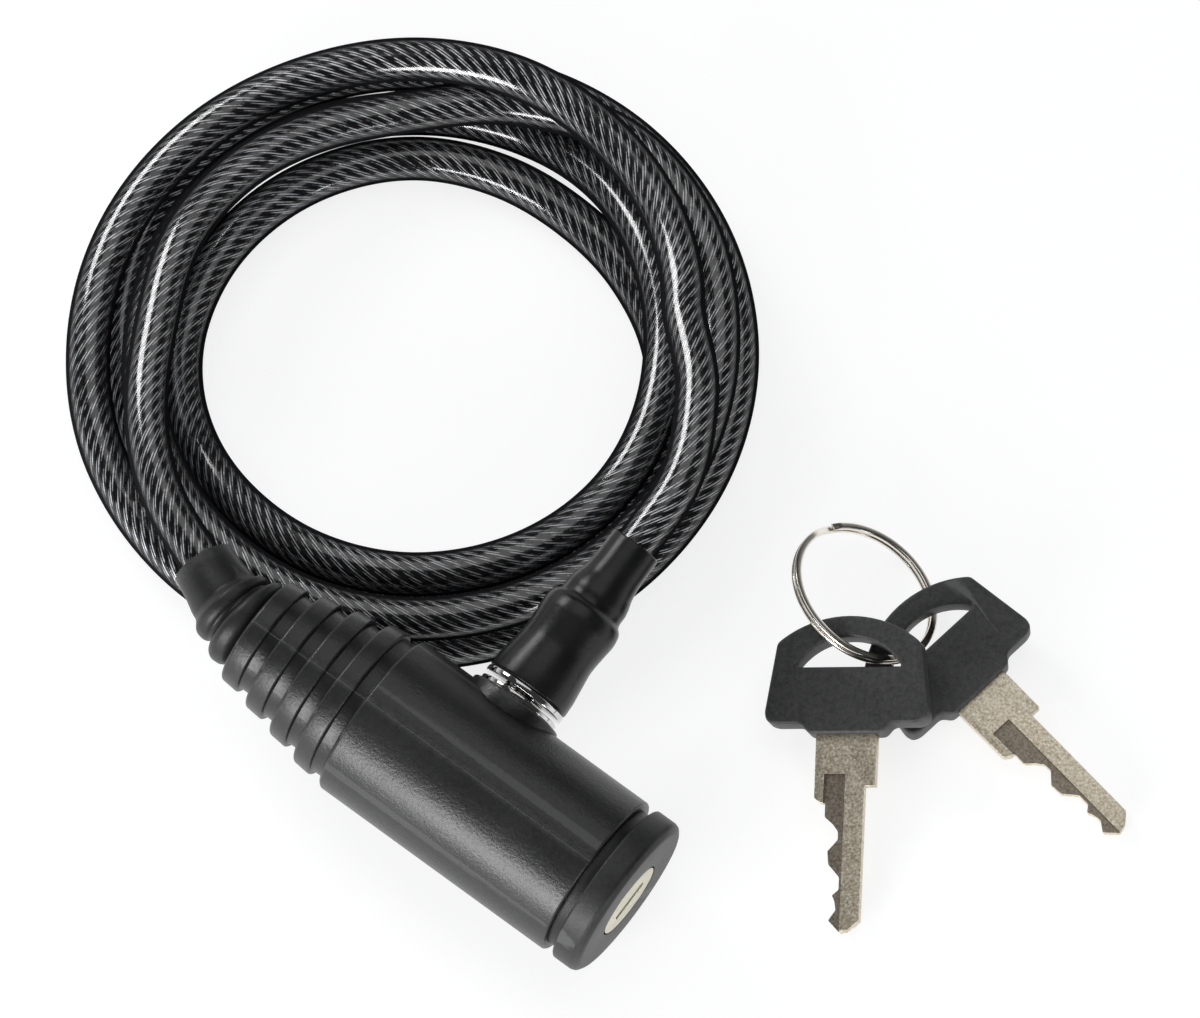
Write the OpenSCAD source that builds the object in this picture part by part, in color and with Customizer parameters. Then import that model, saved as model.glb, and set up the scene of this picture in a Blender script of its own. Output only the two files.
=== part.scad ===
// Self-coiling steel cable lock: a moulded barrel lock with a plug-in cable ferrule,
// and two keys on a split ring. Millimetres, +Z up, laid as on a table.

/* [Cable] */
// Outer diameter of the clear sheath
cable_d = 8; // [7:0.1:8.4]
// Diameter of the steel rope inside the sheath
rope_d = 5; // [4:0.1:5.6]

/* [Lock body] */
// Outer diameter of the moulded barrel
barrel_d = 32; // [31:0.5:36]
// Length of the barrel up to the groove at the end cap
barrel_len = 50.2; // [49:0.2:60]
// Wall of the two moulded covers round the lock core
cover_wall = 2; // [1.6:0.1:2.2]
// Number of grip ribs on the tapered sleeve
rib_count = 4; // [3:1:5]
// Distance from one rib to the next
rib_pitch = 6.45; // [5.8:0.05:7]
// Width of the recess beside each rib
rib_gap = 2.6; // [1.6:0.1:3]
// Depth of the recess beside each rib
rib_depth = 1; // [0.4:0.1:1.2]
// Outer diameter of the sleeve at its small end
sleeve_d = 21.4; // [20:0.2:23]
// Length of the end cap with the key face
cap_len = 5.4; // [3.4:0.1:6]
// Width of the groove between barrel and end cap
cap_groove = 2; // [1:0.1:3]
// Rounding of the end cap's front edge
cap_round = 1.5; // [0.5:0.1:2]

/* [Lock core] */
// Diameter of the turning plug
plug_d = 14.4; // [14:0.1:15]
// Width of the keyway across the blade's height
keyway_w = 8; // [7.7:0.1:8.4]
// Width of the keyway across the blade's thickness
keyway_t = 2.3; // [2.2:0.05:2.6]
// Number of wafers
wafer_count = 5; // [3:1:5]
// Thickness of a wafer
wafer_t = 1.5; // [1.3:0.1:1.6]
// Thickness of the locking cam
cam_t = 1.6; // [1.2:0.1:1.8]
// Reach of the locking cam from the axis of the plug
cam_r = 9.3; // [9:0.1:9.6]

/* [Ferrule] */
// Distance from the barrel's start to the axis of the ferrule
pin_z = 20; // [19:0.2:21]
// Diameter of the ferrule's locking pin
pin_d = 8; // [7.6:0.1:8.2]
// Diameter of the groove that the cam holds
groove_d = 5.2; // [4.6:0.1:5.6]
// Diameter of the ferrule's chrome flange
flange_d = 16.4; // [15:0.1:17]
// Outer diameter of the chrome socket bush
bush_d = 13; // [12:0.1:13.4]
// Wall of the ferrule's crimp round the rope
crimp_wall = 2.45; // [2:0.05:2.6]
// Gap left between the bush rim and the flange when locked
flange_gap = 0.8; // [0.4:0.1:2]

/* [Strain relief] */
// Radius of the strain relief's bend
bend_r = 26; // [24:0.5:30]
// Angle that the strain relief bends through
relief_bend = 22.9; // [20:0.1:25]
// Diameter of the strain relief's root in the sleeve
relief_d = 15.8; // [15:0.1:16.4]

/* [Keys] */
// Thickness of the moulded key bow
bow_t = 5; // [4.4:0.1:5.2]
// Radius of the bow's round end
bow_r = 20; // [19.6:0.1:21]
// Half width of the bow at its shoulder
bow_half = 15.2; // [14:0.1:16]
// Thickness of the key blade
blade_t = 2; // [1.6:0.1:2.2]
// Half width of the key's D-shaped hole
hole_half = 9.7; // [8.6:0.1:10.4]
// Width of the arch between the hole and the round end
arch_w = 3.9; // [3.6:0.1:4.4]
// Length of the key from its shoulder to the tip
key_reach = 38; // [37:0.1:40]

/* [Key ring] */
// Radius of the ring at the middle of its wire
ring_r = 13.9; // [13.6:0.1:14.2]
// Radial width of the ring wire
wire_w = 1.4; // [1:0.1:1.6]
// Height of one turn of the ring wire
wire_t = 0.95; // [0.7:0.05:1]

/* [Hidden] */
$fn = 96;
fit = 0.05;
slide_fit = 0.1;

// where the lock lies: start of the barrel, heading, fall of the key end, rise of the bolt
body_at = [-7.7, -77.5, 20.85];
heading = -36.6;
nose_down = 5;
bolt_up = 12.8;
origin_at = [46.6, -78.4, 0];

// barrel and sleeve
barrel_r = barrel_d / 2;
cavity_r = barrel_r - cover_wall;
core_r = cavity_r - slide_fit;
sleeve_start = -rib_count * rib_pitch;
rib_lip = 0.95;
rib_step = (barrel_r - rib_lip - sleeve_d / 2) / (rib_count - 1);
rib_flare = 0.3;
spigot_len = 2.2;
shoulder_in = 1.6;
face_z = barrel_len + cap_groove + cap_len;
core_top = barrel_len - spigot_len - slide_fit;

// plug, cam and wafers
plug_r = plug_d / 2;
cam_z = pin_z + pin_d / 2 + 1;
plug_z = cam_z + cam_t;
tail_r = 3;
tail_flat = 2.3;
tail_end = cam_z - 0.85;
clip_t = 0.7;
hook_in = cam_r - 1.9;
hook_z = pin_z + groove_d / 2 + 0.3;
wafer_z = plug_z + 3.9;
wafer_half = plug_r - 0.5;
wafer_w = 5.2;
keep_z = core_top - 2.9;
wafer_pitch = (keep_z + 0.5 - wafer_z) / wafer_count;
keep_r = 0.9;
keep_depth = 1;
keep_y = plug_r - keep_depth + 0.1 + keep_r;
cap_ring = 0.3;

// socket bush and ferrule, along the bolt's axis
bush_x = cam_r + 0.6;
boss_x = barrel_r + 0.6;
boss_r = bush_d / 2 + 2.7;
rim_t = 1;
rim_r = bush_d / 2 + 1.6;
pin_r = pin_d / 2;
groove_x = hook_in - 1.4;
head_len = 2.6;
flange_x = boss_x + rim_t + flange_gap;
flange_t = 1.2;
boot_x = flange_x + flange_t;
shank_len = 4.4;
crimp_r = rope_d / 2 + crimp_wall + fit;
crimp_len = 13;
boot_len = 32.7;
boot_end = boot_x + boot_len;
cable_r = cable_d / 2;
rope_r = rope_d / 2;

// strain relief and the cable's anchor
relief_turn = -24.7;
relief_z = sleeve_start + 1.07;
relief_r = relief_d / 2;
relief_root = -9;
stub_len = 6.7;
anchor_z = 7;
anchor_r = 1.25;
anchor_end = 10;
anchor_start = -6;
anchor_body_r = cable_r + 0.1;

function turn_x(p, a) = [p[0], p[1] * cos(a) - p[2] * sin(a), p[1] * sin(a) + p[2] * cos(a)];
function turn_y(p, a) = [p[0] * cos(a) + p[2] * sin(a), p[1], p[2] * cos(a) - p[0] * sin(a)];
function turn_z(p, a) = [p[0] * cos(a) - p[1] * sin(a), p[0] * sin(a) + p[1] * cos(a), p[2]];
function body_dir(p) = turn_z(turn_y(turn_x([p[2], p[0], p[1]], bolt_up), nose_down), heading);
function body_point(p) = body_at + body_dir(p);
function unit(v) = v / norm(v);

// both mouths of the free cable, and the way that the cable leaves them
relief_out = body_dir(turn_z([sin(relief_bend), 0, -cos(relief_bend)], relief_turn));
relief_mouth = body_point(turn_z([bend_r * (1 - cos(relief_bend)) + stub_len * sin(relief_bend), 0,
    relief_z - bend_r * sin(relief_bend) - stub_len * cos(relief_bend)], relief_turn));
boot_out = body_dir([1, 0, 0]);
boot_mouth = body_point([boot_end, 0, pin_z]);
coil_start = relief_mouth + cable_d * relief_out;
coil_end = boot_mouth + cable_d * boot_out;

// stations of the coil: degrees turned clockwise from the left, radius, height of the centre
turn_0 = [[0, 46.4, 21.6], [22.5, 45, 20.2], [45, 44, 17.8], [67.5, 43.6, 15], [90, 44.8, 13.2],
    [112.5, 49.5, 13.4], [135, 53.9, 13.9], [157.5, 55, 13], [180, 54.4, 12.5], [225, 55, 12.5],
    [270, 55.4, 12.6], [315, 53.4, 12.8], [337.5, 51.2, 12.7]];
turn_1 = [[0, 48.8, 11.8], [22.5, 48, 10.6], [45, 48.2, 8], [67.5, 48.4, 5.2], [90, 48.4, 4],
    [112.5, 48.2, 4.6], [135, 47, 8.4], [157.5, 45.4, 11.9], [180, 44.9, 12.6], [225, 46.4, 12.5],
    [270, 46.6, 12.5], [292.5, 46, 12], [315, 44.6, 10], [337.5, 43.4, 7]];
turn_2 = [[0, 42.4, 4.8], [22.5, 41.2, 4], [45, 40.2, 4], [67.5, 39.6, 4], [90, 39.4, 4],
    [112.5, 39, 4], [135, 39.4, 4], [157.5, 41.6, 4], [180, 44.8, 4], [202.5, 47, 4],
    [225, 48.2, 4], [270, 48.6, 4], [315, 50.6, 4], [337.5, 51.8, 4]];
turn_3 = [[0, 53, 4], [22.5, 55, 4], [45, 56.8, 4], [67.5, 57.4, 4], [90, 57.4, 4], [135, 58.2, 4],
    [180, 57.8, 4], [225, 57.2, 4], [270, 57.4, 4], [292.5, 58.4, 4.4], [315, 59.6, 5.8],
    [337.5, 60, 8.2]];
turn_4 = [[0, 59, 10.6], [22.5, 57.6, 12.2], [45, 55.8, 13.8], [67.5, 53.8, 16], [90, 52.2, 19],
    [112.5, 50.4, 22.4], [135, 48.6, 24.8], [180, 48, 28.6], [202.5, 54.6, 32]];
split_turned = 4 * 360 + 135;

function shifted(list, n) = [for (s = list) [s[0] + 360 * n, s[1], s[2]]];
function turned(p) = 180 - atan2(p[1], p[0]);
first_turned = turned(coil_start) - 360;
last_turned = turned(coil_end) + 4 * 360;
function end_station(p, t) = [t, norm([p[0], p[1]]), p[2]];
stations = concat([end_station(coil_start, first_turned)], shifted(turn_0, 0), shifted(turn_1, 1),
    shifted(turn_2, 2), shifted(turn_3, 3), shifted(turn_4, 4), [end_station(coil_end, last_turned)]);
// change of radius and height per degree turned, for a run along v through p
function run_slope(p, v) = let (r = norm([p[0], p[1]]), along = (v[0] * p[1] - v[1] * p[0]) / r)
    [(v[0] * p[0] + v[1] * p[1]) / r, v[2]] / along * r * PI / 180;
function chord(k) = [stations[k + 1][1] - stations[k][1], stations[k + 1][2] - stations[k][2]]
    / (stations[k + 1][0] - stations[k][0]);
function eased(a, b, h0, h1) = a * b <= 0 ? 0 : (a * h1 + b * h0) / (h0 + h1);
function slope_at(k) = k == 0 ? run_slope(coil_start, relief_out)
    : k == len(stations) - 1 ? run_slope(coil_end, -boot_out)
    : let (a = chord(k - 1), b = chord(k), h0 = stations[k][0] - stations[k - 1][0],
        h1 = stations[k + 1][0] - stations[k][0]) [eased(a[0], b[0], h0, h1), eased(a[1], b[1], h0, h1)];
slopes = [for (k = [0 : len(stations) - 1]) slope_at(k)];
function span_of(t) = max([for (k = [0 : len(stations) - 2]) if (stations[k][0] <= t + 0.001) k]);
function blend_of(a, b, m, n, s) = (2 * s * s * s - 3 * s * s + 1) * a + (s * s * s - 2 * s * s + s) * m
    + (3 * s * s - 2 * s * s * s) * b + (s * s * s - s * s) * n;
function coil_point(t) = let (k = span_of(t), h = stations[k + 1][0] - stations[k][0],
    s = (t - stations[k][0]) / h,
    r = blend_of(stations[k][1], stations[k + 1][1], slopes[k][0] * h, slopes[k + 1][0] * h, s),
    z = blend_of(stations[k][2], stations[k + 1][2], slopes[k][1] * h, slopes[k + 1][1] * h, s))
    [r * cos(180 - t), r * sin(180 - t), z];

// rings of the free cable: both straight ends, and one ring every 15 degrees between them
ring_turned = [for (t = [-30 : 15 : split_turned + 75]) t];
route = concat([relief_mouth, coil_start], [for (t = ring_turned) coil_point(t)], [coil_end, boot_mouth]);
split_ring = 2 + (split_turned + 30) / 15;
last_ring = len(route) - 1;
function heading_at(i) = i < 2 ? relief_out : i > last_ring - 2 ? -boot_out
    : unit(route[i + 1] - route[i - 1]);
sides = 6;
function ring_points(i, r) = let (t = heading_at(i), side = unit(cross(t, [0, 0, 1])), up = cross(side, t))
    [for (j = [0 : sides - 1]) route[i] + r * (cos(60 * j + 30) * side + sin(60 * j + 30) * up)];
function tube_points(a, b, r) = [for (i = [a : b]) each ring_points(i, r)];
function wall_faces(n, base, flip) = [for (i = [0 : n - 2]) for (j = [0 : sides - 1])
    let (a = base + i * sides + j, b = base + i * sides + (j + 1) % sides, c = b + sides, d = a + sides)
    each flip ? [[a, c, b], [a, d, c]] : [[a, b, c], [a, c, d]]];
function rim_faces(p, q, flip) = [for (j = [0 : sides - 1]) let (a = p + j, b = p + (j + 1) % sides,
    c = q + (j + 1) % sides, d = q + j) each flip ? [[a, c, b], [a, d, c]] : [[a, b, c], [a, c, d]]];
function cap_faces(p, flip) = [for (j = [1 : sides - 2]) flip ? [p, p + j + 1, p + j]
    : [p, p + j, p + j + 1]];

module tube(a, b, r) {
    n = b - a + 1;
    polyhedron(points = tube_points(a, b, r), faces = concat(wall_faces(n, 0, false),
        cap_faces(0, true), cap_faces((n - 1) * sides, false)));
}

module pipe(a, b, r, hole) {
    n = b - a + 1;
    m = n * sides;
    polyhedron(points = concat(tube_points(a, b, r), tube_points(a, b, hole)),
        faces = concat(wall_faces(n, 0, false), wall_faces(n, m, true), rim_faces(0, m, true),
        rim_faces(m - sides, 2 * m - sides, false)));
}

// least gap between loops, measured on points every 7.5 degrees
probe = [for (t = [-45 : 7.5 : split_turned + 82.5]) [t, coil_point(t)]];
least = min([for (i = [0 : len(probe) - 1]) for (j = [i + 36 : 1 : len(probe) - 1])
    norm(probe[i][1] - probe[j][1])]) - cable_d;
run = [for (i = [1 : last_ring]) norm(route[i] - route[i - 1])];
function total(list, i = 0) = i >= len(list) ? 0 : list[i] + total(list, i + 1);
echo(str("least gap between loops ", least, " mm, free cable ", total(run), " mm"));
echo(str("relief mouth ", relief_mouth, " out ", relief_out));
echo(str("boot mouth ", boot_mouth, " out ", boot_out));

module laid() {
    translate(-origin_at)
        children();
}

module in_body() {
    laid()
        translate(body_at)
            rotate([0, nose_down, heading])
                rotate([bolt_up, 0, 0])
                    rotate([90, 0, 90])
                        children();
}

// along the bolt's axis: local x outward
module on_bolt() {
    translate([0, 0, pin_z])
        rotate([0, 90, 0])
            children();
}

module in_relief() {
    rotate([0, 0, relief_turn])
        children();
}

module after_bend() {
    translate([bend_r, 0, relief_z])
        rotate([0, -relief_bend, 0])
            translate([-bend_r, 0, 0])
                children();
}

// part of the bent run from angle a to angle b
module bent(r, a, b) {
    translate([bend_r, 0, relief_z])
        rotate([0, -a, 0])
            rotate([90, 0, 0])
                rotate([0, 0, 180])
                    rotate_extrude(angle = b - a)
                        translate([bend_r, 0])
                            circle(r);
}

function rib_r(i) = sleeve_d / 2 + rib_step * i;
function rib_start(i) = sleeve_start + rib_pitch * i;
rib_len = rib_pitch - rib_gap;
sleeve_bore = relief_r + slide_fit;
outline = concat([[sleeve_bore, sleeve_start]],
    [for (i = [0 : rib_count - 1]) each [[rib_r(i) - 0.4, rib_start(i)], [rib_r(i), rib_start(i) + 0.4],
        [rib_r(i) + rib_flare, rib_start(i) + rib_len - 0.3], [rib_r(i), rib_start(i) + rib_len],
        [rib_r(i) - rib_depth + rib_flare, rib_start(i) + rib_len],
        [rib_r(i) - rib_depth + rib_flare, rib_start(i + 1)]]],
    [[barrel_r - 0.5, 0], [barrel_r, 0.5], [barrel_r, barrel_len - 0.3], [barrel_r - 0.3, barrel_len],
        [cavity_r, barrel_len], [cavity_r, cover_wall], [sleeve_bore, cover_wall]]);

module half_cover(side) {
    rotate([0, 0, side])
        rotate_extrude(angle = 180)
            polygon(outline);
}

module cover_bolt_side() color("#1f2022") in_body() {
    difference() {
        union() {
            half_cover(-90);
            on_bolt()
                translate([0, 0, cavity_r - 1])
                    cylinder(h = boss_x - cavity_r + 1, r = boss_r);
        }
        translate([0, 0, cover_wall])
            cylinder(h = barrel_len, r = cavity_r);
        on_bolt()
            translate([0, 0, cavity_r - 2])
                cylinder(h = boss_x, r = bush_d / 2 + fit);
    }
}

module cover_plain_side() color("#25262a") in_body()
    half_cover(90);

module end_cap() color("#303134") in_body() {
    rotate_extrude()
        difference() {
            union() {
                translate([0, core_top + slide_fit])
                    square([core_r, spigot_len]);
                translate([0, barrel_len])
                    square([barrel_r - shoulder_in, cap_groove]);
                translate([0, barrel_len + cap_groove])
                    square([barrel_r, cap_len - cap_round]);
                translate([0, barrel_len + cap_groove])
                    square([barrel_r - cap_round, cap_len]);
                translate([barrel_r - cap_round, face_z - cap_round])
                    circle(cap_round);
            }
            translate([-barrel_d, 0])
                square([barrel_d + plug_r + cap_ring, face_z + 1]);
        }
}

module lock_housing() color("#8f8a80") in_body() {
    difference() {
        translate([0, 0, cover_wall])
            cylinder(h = core_top - cover_wall, r = core_r);
        translate([0, 0, plug_z])
            cylinder(h = core_top, r = plug_r + fit);
        translate([0, 0, hook_z - 0.2])
            cylinder(h = plug_z + 0.3 - hook_z, r = cam_r + 0.4);
        on_bolt()
            translate([0, 0, groove_x - head_len - 0.2])
                cylinder(h = core_r, r = pin_r + fit);
        on_bolt()
            translate([0, 0, bush_x])
                cylinder(h = core_r, r = bush_d / 2 + fit);
        translate([0, 0, cover_wall - 1])
            cylinder(h = anchor_end + 2 - cover_wall + 1, r = anchor_body_r + fit);
        translate([0, 0, anchor_z])
            rotate([90, 0, 0])
                cylinder(h = barrel_d, r = anchor_r + 0.02, center = true);
        translate([-core_r - 1, -keep_y, keep_z])
            rotate([0, 90, 0])
                cylinder(h = core_r + 6.05, r = keep_r + 0.03);
        translate([-plug_r - 1.4, -wafer_w / 2 - fit, plug_z + 1.4])
            cube([plug_d + 2.8, wafer_w + 2 * fit, core_top]);
    }
}

module socket_bush() color("#c9ccd0") in_body()
    on_bolt()
        difference() {
            union() {
                translate([0, 0, bush_x])
                    cylinder(h = boss_x + rim_t - bush_x, r = bush_d / 2);
                translate([0, 0, boss_x])
                    cylinder(h = rim_t, r = rim_r);
            }
            cylinder(h = boss_x + 5, r = pin_r + fit);
        }

module strain_relief() color("#1a1b1c") in_body() in_relief() {
    difference() {
        union() {
            translate([0, 0, relief_z])
                cylinder(h = relief_root - relief_z, r = relief_r);
            bent(relief_r - 0.9, 0, 12);
            bent(relief_r + 1.3, 4, 10);
            bent(relief_r - 1.1, 11, relief_bend);
            bent(relief_r, 12.5, 18);
            after_bend()
                translate([0, 0, -stub_len])
                    cylinder(h = stub_len + 0.3, r1 = cable_r + 1.85, r2 = cable_r + 2.4);
        }
        translate([0, 0, relief_z])
            cylinder(h = relief_root - relief_z + 1, r = cable_r + fit);
        bent(cable_r + fit, 0, relief_bend);
        after_bend()
            translate([0, 0, -stub_len - 1])
                cylinder(h = stub_len + 1.3, r = cable_r + 2 * fit);
    }
}

module cable_end_in_body() color("#3a3c3e") in_body() in_relief() {
    translate([0, 0, relief_z])
        cylinder(h = anchor_start - relief_z, r = cable_r);
    translate([0, 0, anchor_start])
        cylinder(h = anchor_z - anchor_r - 0.3 - anchor_start, r = rope_r);
    bent(cable_r, 0, relief_bend);
    after_bend()
        translate([0, 0, -stub_len])
            cylinder(h = stub_len + 0.3, r = cable_r - 0.02);
}

module cable_crimp() color("#9a9ca0") in_body()
    difference() {
        translate([0, 0, anchor_start])
            cylinder(h = anchor_end - anchor_start, r = anchor_body_r);
        translate([0, 0, anchor_start - 1])
            cylinder(h = anchor_z - anchor_r - 0.2 - anchor_start + 1, r = rope_r + fit);
        translate([0, 0, anchor_z])
            rotate([90, 0, 0])
                cylinder(h = barrel_d, r = anchor_r + 0.02, center = true);
    }

module anchor_pin() color("#b5b7ba") in_body()
    translate([0, 0, anchor_z])
        rotate([90, 0, 0])
            cylinder(h = 2 * core_r - 2.4, r = anchor_r, center = true);

module retaining_pin() color("#b5b7ba") in_body()
    translate([-core_r + 2.9, -keep_y, keep_z])
        rotate([0, 90, 0])
            cylinder(h = core_r + 2.1, r = keep_r);

module tail_shape() {
    intersection() {
        circle(tail_r);
        square([2 * tail_r, 2 * tail_flat], center = true);
    }
}

module plug() color("#b8a878") in_body()
    difference() {
        union() {
            translate([0, 0, plug_z])
                cylinder(h = face_z - plug_z, r = plug_r);
            translate([0, 0, tail_end])
                linear_extrude(plug_z - tail_end)
                    tail_shape();
        }
        translate([-keyway_w / 2, -keyway_t / 2, plug_z + 0.6])
            cube([keyway_w, keyway_t, face_z]);
        for (i = [0 : wafer_count - 1])
            translate([0, 0, wafer_z + i * wafer_pitch]) {
                cube([plug_d + 1, wafer_w + 2 * fit, wafer_t + 0.1], center = true);
                translate([-3, wafer_w / 2 - 0.2, -0.65])
                    cube([7.4, 1.5, 1.3]);
            }
        rotate_extrude()
            translate([plug_r - keep_depth, keep_z - keep_r - 0.1])
                square([keep_depth + 1, 2 * keep_r + 0.2]);
    }

module wafer(i) color("#c8b070") in_body()
    translate([0, 0, wafer_z + i * wafer_pitch])
        difference() {
            union() {
                intersection() {
                    cylinder(h = wafer_t, r = plug_r - 0.1, center = true);
                    cube([2 * wafer_half, wafer_w, wafer_t], center = true);
                }
                translate([2.9, wafer_w / 2 - 0.4, -0.55])
                    cube([1.1, 1.6, 1.1]);
            }
            cube([keyway_w, keyway_t + 0.1, wafer_t + 1], center = true);
        }

module wafer_1() wafer(0);
module wafer_2() wafer(1);
module wafer_3() wafer(2);
module wafer_4() wafer(3);
module wafer_5() wafer(4);

module wafer_springs() color("#d0d2d4") in_body()
    for (i = [0 : wafer_count - 1])
        translate([-2.95, wafer_w / 2 + 0.62, wafer_z + i * wafer_pitch])
            rotate([0, 90, 0])
                cylinder(h = 5.8, r = 0.5);

module cam() color("#a8aaad") in_body()
    difference() {
        union() {
            translate([0, 0, cam_z])
                intersection() {
                    cylinder(h = cam_t, r = cam_r);
                    translate([-4.5, -4.5, 0])
                        cube([9, cam_r + 5, cam_t]);
                }
            rotate([0, 0, 76])
                translate([0, 0, hook_z])
                    rotate_extrude(angle = 28)
                        translate([hook_in, 0])
                            square([cam_r - 0.1 - hook_in, cam_z - hook_z + 0.5]);
        }
        translate([0, 0, cam_z - 1])
            linear_extrude(cam_t + 2)
                tail_shape();
    }

module cam_clip() color("#c0c2c4") in_body()
    translate([0, 0, cam_z - clip_t - 0.1])
        difference() {
            cylinder(h = clip_t, r = tail_r + 1);
            translate([0, 0, -1])
                linear_extrude(clip_t + 2)
                    tail_shape();
        }

module ferrule_pin() color("#d2d4d8") in_body()
    on_bolt() {
        translate([0, 0, groove_x - head_len])
            cylinder(h = 1.2, r1 = pin_r - 1.2, r2 = pin_r);
        translate([0, 0, groove_x - head_len + 1.2])
            cylinder(h = head_len - 1.2, r = pin_r);
        translate([0, 0, groove_x])
            cylinder(h = bush_x - 0.1 - groove_x, r = groove_d / 2);
        translate([0, 0, bush_x - 0.1])
            cylinder(h = flange_x - bush_x + 0.1, r = pin_r);
        translate([0, 0, flange_x])
            cylinder(h = flange_t, r = flange_d / 2);
        translate([0, 0, boot_x])
            cylinder(h = shank_len, r = crimp_r - 0.1);
    }

module ferrule_crimp() color("#8e9094") in_body()
    on_bolt()
        translate([0, 0, boot_x + shank_len])
            difference() {
                cylinder(h = crimp_len, r = crimp_r);
                translate([0, 0, 2])
                    cylinder(h = crimp_len, r = rope_r + fit);
            }

jacket_x = boot_x + shank_len + crimp_len + 0.5;

module ferrule_boot() color("#161718") in_body()
    on_bolt()
        difference() {
            rotate_extrude()
                polygon([[0, boot_x], [flange_d / 2 - 0.4, boot_x], [flange_d / 2, boot_x + 0.4],
                    [flange_d / 2 - 0.3, boot_x + 4.4], [flange_d / 2 - 1, boot_x + 9.2],
                    [flange_d / 2 - 0.8, boot_x + 13.4], [flange_d / 2 - 0.6, boot_x + 16.4],
                    [flange_d / 2 - 0.9, boot_x + 17.9], [cable_r + 2.2, boot_x + 19],
                    [cable_r + 2, boot_x + 21.4], [cable_r + 1.2, boot_x + 24.4],
                    [cable_r + 0.9, boot_end], [0, boot_end]]);
            translate([0, 0, boot_x - 1])
                cylinder(h = jacket_x - boot_x + 1, r = crimp_r + fit);
            translate([0, 0, boot_x])
                cylinder(h = boot_len + 1, r = cable_r + fit);
        }

module cable_end_in_ferrule() color("#3a3c3e") in_body()
    on_bolt() {
        translate([0, 0, boot_x + shank_len + 2.2])
            cylinder(h = jacket_x - boot_x - shank_len - 2, r = rope_r);
        translate([0, 0, jacket_x])
            cylinder(h = boot_end - jacket_x, r = cable_r);
    }

module sheath_coil() color("#34383c") laid()
    pipe(0, split_ring, cable_r, rope_r + slide_fit);

module rope_coil() color("#8c9094") laid()
    tube(0, split_ring, rope_r);

module sheath_tail() color("#3c4044") laid()
    pipe(split_ring, last_ring, cable_r, rope_r + slide_fit);

module rope_tail() color("#94989c") laid()
    tube(split_ring, last_ring, rope_r);

// keys: x runs from the bow to the tip, the underside of the bow is z = 0
front_key_at = [78.1, -73.9, 5.7];
front_key_heading = -92.5;
front_key_pitch = 10.7;
front_key_roll = 12.8;
rear_key_at = [100.3, -64.5, 1.83];
rear_key_heading = -46.8;
rear_key_pitch = 4.4;
rear_key_roll = 7.3;
blade_z = (bow_t - blade_t) / 2;
head_u = -6;
root_half = 5;
head_half = 5.6;
collar_u = 1.8;
head_end = 11.2;
back_v = 3.6;
tip_u = key_reach;
bow_u = 0.2;
arch_u = -4.2;
arch_r = bow_r - bow_u + arch_u - arch_w;
flat_u = -10.4;

// the cuts that lift the wafers, from the head to the tip
bitting = [[13.4, -5.5], [14.3, -4.3], [14.3, -3.5], [16.8, -3.5], [18.1, -2], [19.5, -0.95], [21, -0.9],
    [23.1, -2.75], [25.5, -2.5], [27.9, -0.4], [30.2, -0.4], [31.2, -1.6], [32.2, -1.1], [33.9, -0.8],
    [35.8, -2.1]];

// milled faces: start, depth, and the edges of the broad one and of the groove behind it
mill_u = 9;
mill_depth = 0.5;
broad_mill = [-3.8, 0.1];
back_groove = [1.3, 2.5];

module front_key() {
    laid()
        translate(front_key_at)
            rotate([0, front_key_pitch, front_key_heading])
                rotate([front_key_roll, 0, 0])
                    children();
}

module rear_key() {
    laid()
        translate(rear_key_at)
            rotate([0, rear_key_pitch, rear_key_heading])
                rotate([rear_key_roll, 0, 0])
                    children();
}

module blade_outline() {
    polygon(concat([[head_u, -root_half], [collar_u, -root_half], [collar_u, -head_half]], bitting,
        [[tip_u, 0], [tip_u - 0.4, back_v - 1.9], [tip_u - 2.1, back_v], [head_end, back_v],
        [head_end, head_half], [collar_u, head_half], [collar_u, root_half], [head_u, root_half]]));
}

module milled(edges, z) {
    translate([mill_u, edges[0], z])
        cube([tip_u, edges[1] - edges[0], blade_t]);
}

module key_blade() {
    difference() {
        translate([0, 0, blade_z])
            linear_extrude(blade_t)
                blade_outline();
        milled(broad_mill, blade_z + blade_t - mill_depth);
        milled(back_groove, blade_z + mill_depth - blade_t);
    }
}

module bow_plan() {
    difference() {
        union() {
            intersection() {
                translate([bow_u, 0])
                    circle(bow_r);
                polygon([[-22, -bow_half + 3.1], [-2, -bow_half + 0.2], [-0.6, -bow_half + 0.6],
                    [0, -bow_half + 2], [0, bow_half - 2], [-0.6, bow_half - 0.6],
                    [-2, bow_half - 0.2], [-22, bow_half - 3.1]]);
            }
            polygon([[-1, -8.2], [0, -8.2], [collar_u, -6.8], [collar_u, 6.8], [0, 8.2], [-1, 8.2]]);
        }
        intersection() {
            translate([arch_u, 0])
                circle(arch_r);
            translate([arch_u - arch_r - 1, -hole_half])
                square([flat_u - arch_u + arch_r + 1, 2 * hole_half]);
        }
    }
}

module key_bow() {
    difference() {
        linear_extrude(bow_t)
            bow_plan();
        translate([head_u, -root_half, blade_z])
            cube([collar_u - head_u + 1, 2 * root_half, blade_t]);
    }
}

module front_key_blade() color("#a89f8c") front_key() key_blade();
module front_key_bow() color("#2c2e31") front_key() key_bow();
module rear_key_blade() color("#a89f8c") rear_key() key_blade();
module rear_key_bow() color("#2c2e31") rear_key() key_bow();

// split ring: two turns of flat wire, joined by a short rise
ring_at = [80.6, -48.5, 8.26];
ring_tilt = 30.5;
ring_low = 21.5;
ring_split = 120;
rise_steps = 3;

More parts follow.
